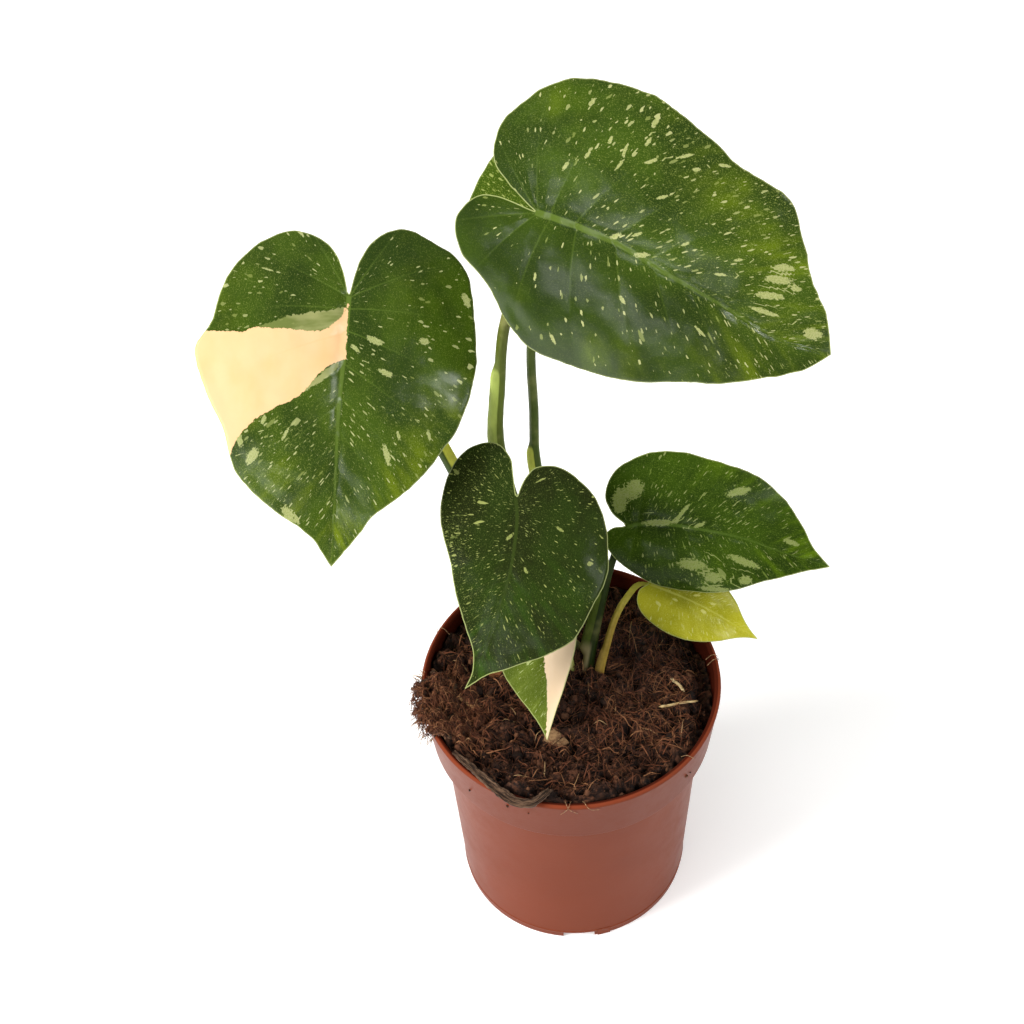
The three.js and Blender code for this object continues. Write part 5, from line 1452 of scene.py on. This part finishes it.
def soil_look(name, deep, brown, tan):
    """Crumbly brown; a piece's tone attribute makes some grains darker and others paler, and on the soil it
    is painted shade in the hollows.
    """
    look = Look(name, deep)
    place = look.object_place()
    tone = look.value("tone")
    crumb = look.noise(place, 420, 5.0, 0.65)
    threads = look.noise(look.stretched(place, 1400, 350, 700), 1.0, 4.0, 0.7)
    look.step(brown, crumb, 0.35, 0.62)
    look.step(deep, look.noise(place, 60, 3.0), 0.42, 0.62, 0.0, 0.55)
    look.step(tan, threads, 0.6, 0.72, 0.0, 0.7)
    look.step(look.mix(0.5, brown, tan), tone, 0.0, 1.0, 0.0, 0.75)
    look.step(deep, tone, 0.0, -1.0, 0.0, 0.8)
    return look.finish(Roughness=look.slide(crumb, 0, 1, 0.7, 0.95),
                       Normal=look.bump(crumb, 0.0012, 0.8))


def add_soil(look):
    angle = round_turn(SOIL_SEGMENTS)
    edge_radius, _ = on_lining(MIX_LEVEL - MIX_EDGE_DROP, MIX_GAP)
    sides = [on_lining(FLOOR_TOP, FLOOR_COVE + MIX_GAP), on_lining(FLOOR_TOP + FLOOR_COVE, 2 * MIX_GAP),
             on_lining(UNDER_SHOULDER, MIX_GAP), on_lining(SHOULDER, MIX_GAP)]
    lifts = (SOIL_GAP, SOIL_GAP, 0, SOIL_GAP)
    rings = [polar(radius, angle, z + lift) for (radius, z), lift in zip(sides, lifts)]
    for share in np.linspace(1, 0.008, SOIL_RINGS):
        x, y = edge_radius * share * np.cos(angle), edge_radius * share * np.sin(angle)
        rings.append(np.stack([x, y, soil_height(x, y)], -1))
    points, faces = loft(np.stack(rings))
    # Painted shade: the tone darkens the mix in its pits and hollows and paints a little light on its tops.
    tone = np.clip(soil_relief(points[:, 0], points[:, 1]) / 2.2 - 0.2, -1, 0.2)
    add_piece("soil", points, faces, look, ("potting_mix",), {"tone": tone})


def ball(rings, sides):
    """Unit ball as a loft, from the bottom up."""
    tilt = np.linspace(-math.pi / 2, math.pi / 2, rings + 2)[1:-1, None]
    return loft(polar(np.cos(tilt), round_turn(sides), np.sin(tilt)))


def places_in(rng, count, centre, radii):
    """Random places spread evenly over an ellipse."""
    distance = np.sqrt(rng.random(count))
    bearing = rng.random(count) * 2 * math.pi
    return (centre[0] + radii[0] * distance * np.cos(bearing),
            centre[1] + radii[1] * distance * np.sin(bearing))


def on_mix(x, y):
    """True for places within the rim or on the clump."""
    cx, cy, _ = CLUMP_CENTRE
    in_clump = ((x - cx) / CLUMP_RADII[0]) ** 2 + ((y - cy) / CLUMP_RADII[1]) ** 2 < 1.1
    return (np.hypot(x, y) < LOOSE_REACH) | in_clump


def lump(points, place, size, rng):
    """One lumpy grain from a unit ball's points, turned at random."""
    lumpy = points * rng.uniform(0.72, 1.28, (len(points), 1))
    lumpy = lumpy * size * rng.uniform(0.55, 1.15, 3)
    spin = np.linalg.qr(rng.normal(size=(3, 3)))[0]
    return lumpy @ (spin * np.sign(np.linalg.det(spin))) + place


def add_grains(name, parts, tones, look):
    """One piece from many small bodies, each with its tone."""
    points, faces = join_meshes(parts)
    shades = np.repeat(tones, [len(part) for part, _ in parts])
    add_piece(name, points, faces, look, attributes={"tone": shades})


def add_clump(rng, look):
    """The clump that lies over the rim: rough lumps heaped on the lip and a little outside it."""
    parts = []
    for count, (least, most), (rings, sides), aside, scatter in CLUMP_LUMPS:
        ball_points, faces = ball(rings, sides)
        centre = (CLUMP_CENTRE[0] + aside, CLUMP_CENTRE[1])
        x, y = places_in(rng, count, centre, np.array(CLUMP_RADII) * scatter)
        for flat, ground in zip(np.column_stack([x, y]), soil_height(x, y)):
            size = rng.uniform(least, most)
            reach = np.hypot(*flat)
            height = ground - size * LUMP_SINK
            if reach > OVER_RIM:
                height = max(height, POT_HEIGHT + LIP_CLEARANCE)
            height -= CLUMP_HANG * ease(reach, *HANG_RADII)
            points = ball_points * size * rng.uniform(*LUMP_STRETCH)
            rough = 1 + 0.6 * rough_noise(points + np.append(flat, 0), 2.0, 2, seed=8)
            rough += 0.45 * rough_noise(points + np.append(flat, 0), 0.9, 2, seed=9)
            parts.append((points * rough[:, None] + np.append(flat, height), faces))
    add_grains("clump", parts, rng.uniform(-1, 0.4, len(parts)), look)


def fibre_batch(rng, count, centre, radii, lengths, widths, curl, arch, tones, lift=0.15):
    """Tapered fibres lying on the mix: rings (fibre, ring, side, 3) and a tone for each."""
    x, y = places_in(rng, count, centre, radii)
    step = rng.uniform(*lengths, count) / (FIBRE_STEPS - 1)
    heading = rng.random(count) * 2 * math.pi
    turn = rng.normal(0, curl, count)
    twist = rng.normal(0, curl * 0.4, count)
    xs, ys = [x], [y]
    for i in range(FIBRE_STEPS - 1):
        heading = heading + (turn + twist * (i - FIBRE_STEPS // 2)) * step
        xs.append(xs[-1] + step * np.cos(heading))
        ys.append(ys[-1] + step * np.sin(heading))
    xs, ys = np.array(xs).T, np.array(ys).T
    keep = on_mix(xs, ys).all(1)
    xs, ys = xs[keep], ys[keep]
    along = np.linspace(0, 1, FIBRE_STEPS)
    bow = np.sin(math.pi * along * rng.uniform(0.5, 1.2, (len(xs), 1)))
    rise = rng.uniform(*arch, (len(xs), 1)) * bow
    rise = rise + rng.uniform(-0.3, 0.8, (len(xs), 1)) * arch[1] * along
    ground = soil_height(xs.ravel(), ys.ravel()).reshape(xs.shape)
    wide = np.pad(ground, ((0, 0), (1, 1)), mode="edge")
    zs = (wide[:, :-2] + wide[:, 1:-1] + wide[:, 2:]) / 3 + rise + lift
    centres, along = np.stack([xs, ys, zs], -1)[:, ::2], along[::2]
    headings = unit(np.gradient(centres, axis=1) + 1e-9)
    side = unit(np.cross(headings, [0.0, 0, 1]))
    up = np.cross(side, headings)
    radius = rng.uniform(*widths, (len(xs), 1)) * (1 - 0.55 * along)
    angle = round_turn(FIBRE_SIDES)[:, None]
    around = np.cos(angle) * side[:, :, None] + np.sin(angle) * up[:, :, None]
    return centres[:, :, None] + radius[..., None, None] * around, rng.uniform(*tones, len(xs))


def add_fibres(rng):
    parts, tones = [], []
    for batch in FIBRES:
        fibres, shades = fibre_batch(rng, **batch)
        parts.extend(loft(fibre) for fibre in fibres)
        tones.extend(shades)
    add_grains("soil_fibres", parts, tones, fibre_look())


def fibre_look():
    look = Look("fibres", (44, 25, 16))
    tone = look.value("tone")
    spot = look.noise(look.object_place(), 500, 2.0)
    look.step((112, 66, 44), tone, 0.0, 0.5)
    look.step((148, 102, 68), tone, 0.5, 0.75)
    look.step((190, 156, 110), tone, 0.75, 1.0)
    look.step((66, 38, 24), spot, 0.4, 0.7, 0.0, 0.5)
    return look.finish(Roughness=look.slide(spot, 0, 1, 0.6, 0.9))


def add_crumbs(rng, look):
    """Grains and lumps on the mix, and the few crumbs that stick to the collar."""
    for name, count, (rings, sides), (least, most) in CRUMBS:
        ball_points, ball_faces = ball(rings, sides)
        x, y = places_in(rng, count, **CRUMB_BED)
        keep = on_mix(x, y)
        x, y = x[keep], y[keep]
        parts = []
        for place in np.column_stack([x, y, soil_height(x, y)]):
            size = least + (most - least) * rng.random() ** 2.5
            parts.append((lump(ball_points, place - [0, 0, size * 0.15], size, rng), ball_faces))
        if name == "soil_grains":
            for degrees, height, size in COLLAR_CRUMBS:
                place = polar(pot_radius(height) + size * 0.25, math.radians(degrees), height)
                parts.append((lump(ball_points, place, size, rng), ball_faces))
        add_grains(name, parts, rng.uniform(-1.3, 0.8, len(parts)), look)


def add_hairs(rng):
    """Fine fibres that hang over the lip and down the collar, and that fray out of the clump."""
    parts = []
    for degrees, low, drift in RIM_HAIRS:
        turns = np.radians(degrees + np.array(HAIR_DRIFTS) * drift)
        reach = np.array([*HAIR_REACHES, pot_radius(low) + 0.3])
        parts.append(hair(polar(reach, turns, np.array([*HAIR_HEIGHTS, low]))))
    for _ in range(FRAY_COUNT):
        bearing = rng.uniform(*np.radians(FRAY_DEG))
        heading = bearing + rng.normal(0, 0.5)
        root = CLUMP_CENTRE + polar(1, bearing, rng.uniform(-1, 3)) * FRAY_RING
        out = polar(1, heading, rng.uniform(-0.5, 0.7))
        length = rng.uniform(*FRAY_LENGTHS)
        sag = np.array([0, 0, -rng.uniform(0, FRAY_SAG)])
        parts.append(hair([root, root + out * length * 0.5, root + out * length + sag]))
    points, faces = join_meshes(parts)
    look = wood_look("hairs", (92, 66, 46), (176, 142, 102), 600)
    add_piece("hairs", points, faces, look)


def hair(route):
    curve = Curve(route)
    share = np.linspace(0, 1, HAIR_RINGS)
    radius = np.repeat(HAIR_RADIUS * (1 - 0.5 * share[:, None]), HAIR_SIDES, 1)
    return loft(sweep(curve.at(share), curve.heading(share), (0.3, 0.2, 1), radius))


# Small pieces on the mix

def wood_look(name, dark, pale, scale=350):
    look = Look(name, dark)
    place = look.object_place()
    grain = look.noise(look.stretched(place, 1, 2.5, 2.5), scale, 4.0, 0.65)
    look.step(pale, grain, 0.35, 0.65)
    look.step((58, 38, 26), look.noise(place, scale * 1.5, 3.0), 0.55, 0.75, 0.0, 0.6)
    return look.finish(Roughness=look.slide(grain, 0, 1, 0.7, 0.95),
                       Normal=look.bump(grain, 0.0005, 0.8))


def add_slab(name, slab):
    outline = np.array([*slab["outline"], slab["outline"][0]], float)
    run = np.concatenate([[0], np.cumsum(np.linalg.norm(np.diff(outline, axis=0), axis=1))])
    around = np.linspace(0, run[-1], SLAB_POINTS, endpoint=False)
    edge = np.stack([np.interp(around, run, outline[:, k]) for k in (0, 1)], 1)
    half = slab["thickness"] / 2
    points, faces = loft(np.stack([
        np.column_stack([edge * share, np.full(len(edge), half * level)]) for share, level in SLAB_LAYERS
    ]))
    grain = rough_noise(points * [0.5, 2.2, 2.0], 1.4, 3, seed=4)
    points = points + 0.14 * grain[:, None] * unit(points + [0, 0, 1e-3])
    tilt = np.array(Matrix.Rotation(slab["turn"], 3, "Z") @ Matrix.Rotation(slab["tilt"], 3, "X"))
    points = points @ tilt.T + slab["centre"]
    add_piece(f"{name}_piece", points, faces, wood_look(name, *slab["tones"]), (name,))


def add_twig(name, twig):
    start, end = (np.array(p, float) for p in twig["ends"])
    share = np.linspace(0, 1, TWIG_RINGS)
    heading = unit(end - start)
    sideways = unit(np.cross(heading, [0, 0, 1.0]))
    bow = 0.25 * twig["radius"] * np.sin(2.5 * math.pi * share)
    centres = start + share[:, None] * (end - start) + bow[:, None] * sideways
    blunt = np.clip(np.minimum(share, 1 - share) * 16, 0.35, 1)
    radius = twig["radius"] * (1 - (1 - TWIG_TAPER) * share) * blunt
    reach = radius[:, None] * (1 + 0.06 * np.cos(5 * round_turn(TWIG_SIDES)))
    points, faces = loft(sweep(centres, heading, sideways, reach))
    gnarled = 0.16 * rough_noise(points, 1.6, 2, seed=6)
    points = points + gnarled[:, None] * off_axis(points, centres, TWIG_SIDES)
    add_piece(f"{name}_piece", points, faces, wood_look(name, *twig["tones"]), (name,))


def add_bark():
    curve = Curve(BARK_ROUTE)
    share = np.linspace(0, 1, BARK_RINGS)
    centres, headings = curve.at(share), curve.heading(share)
    across = unit(np.cross([0.0, 0, 1], headings))
    up = np.cross(headings, across)
    width = np.interp(share, np.linspace(0, 1, len(BARK_HALF_WIDTH)), BARK_HALF_WIDTH)
    angle = round_turn(BARK_SIDES)
    rise = BARK_HALF_THICKNESS * (np.sin(angle) + BARK_SCOOP * np.cos(angle) ** 2)
    points, faces = loft(centres[:, None] + width[:, None, None] * np.cos(angle)[:, None] * across[:, None]
                         + rise[:, None] * up[:, None])
    run = np.append(np.repeat(share, BARK_SIDES) * curve.length, [0, curve.length])
    around = np.append(np.tile(angle, BARK_RINGS), [0, 0])
    grain = np.column_stack([run / BARK_GRAIN, 1.6 * np.cos(around), np.sin(around)])
    grain[-2:, 1:] = 0
    fissures = rough_noise(grain, 0.7, 3, seed=12)
    fissures[-2:] = 0
    knots = rough_noise(points, 3.2, 2, seed=13) + 0.5 * rough_noise(points, 1.1, 2, seed=14)
    away = unit(off_axis(points, centres, BARK_SIDES) + 1e-6)
    points = points + (0.34 * fissures + 0.5 * knots)[:, None] * away
    add_piece("bark_piece", points, faces, bark_look(), ("bark_strip",),
              {"lengthwise": np.column_stack([run, grain[:, 1:]])})


def bark_look():
    look = Look("bark", (42, 30, 22))
    lengthwise = look.attribute("lengthwise")
    fibres = look.noise(look.stretched(lengthwise, 0.25, 3.0, 3.0), 1.0, 4.0, 0.65)
    cracks = look.noise(look.stretched(lengthwise, 0.12, 1.4, 1.4), 1.0, 3.0, 0.6)
    spot = look.noise(look.object_place(), 420, 4.0, 0.7)
    look.step((112, 86, 66), fibres, 0.35, 0.65)
    look.step((22, 14, 10), cracks, 0.5, 0.38, 0.0, 0.85)
    look.step((62, 40, 28), spot, 0.52, 0.7, 0.0, 0.7)
    return look.finish(Roughness=look.slide(spot, 0, 1, 0.7, 0.95),
                       Normal=look.bump(fibres, 0.0008, 0.9))


add_camera()
add_studio()
add_floor()
add_pot()
dark_soil = soil_look("potting_mix", (14, 8, 6), (92, 57, 39), (146, 102, 70))
add_soil(dark_soil)
chance = np.random.default_rng(41)
add_clump(chance, soil_look("clump", (26, 17, 11), (118, 85, 60), (160, 122, 90)))
add_fibres(chance)
add_crumbs(chance, dark_soil)
add_hairs(chance)
add_stem()
for leaf_name, leaf_shape in LEAVES.items():
    add_petiole(leaf_name, leaf_shape, PETIOLE_LOOKS[leaf_name])
    add_blade(leaf_name, leaf_shape, LEAF_LOOKS[leaf_name])
add_bark()
for slab_name, slab_shape in SLABS.items():
    add_slab(slab_name, slab_shape)
for twig_name, twig_shape in TWIGS.items():
    add_twig(twig_name, twig_shape)
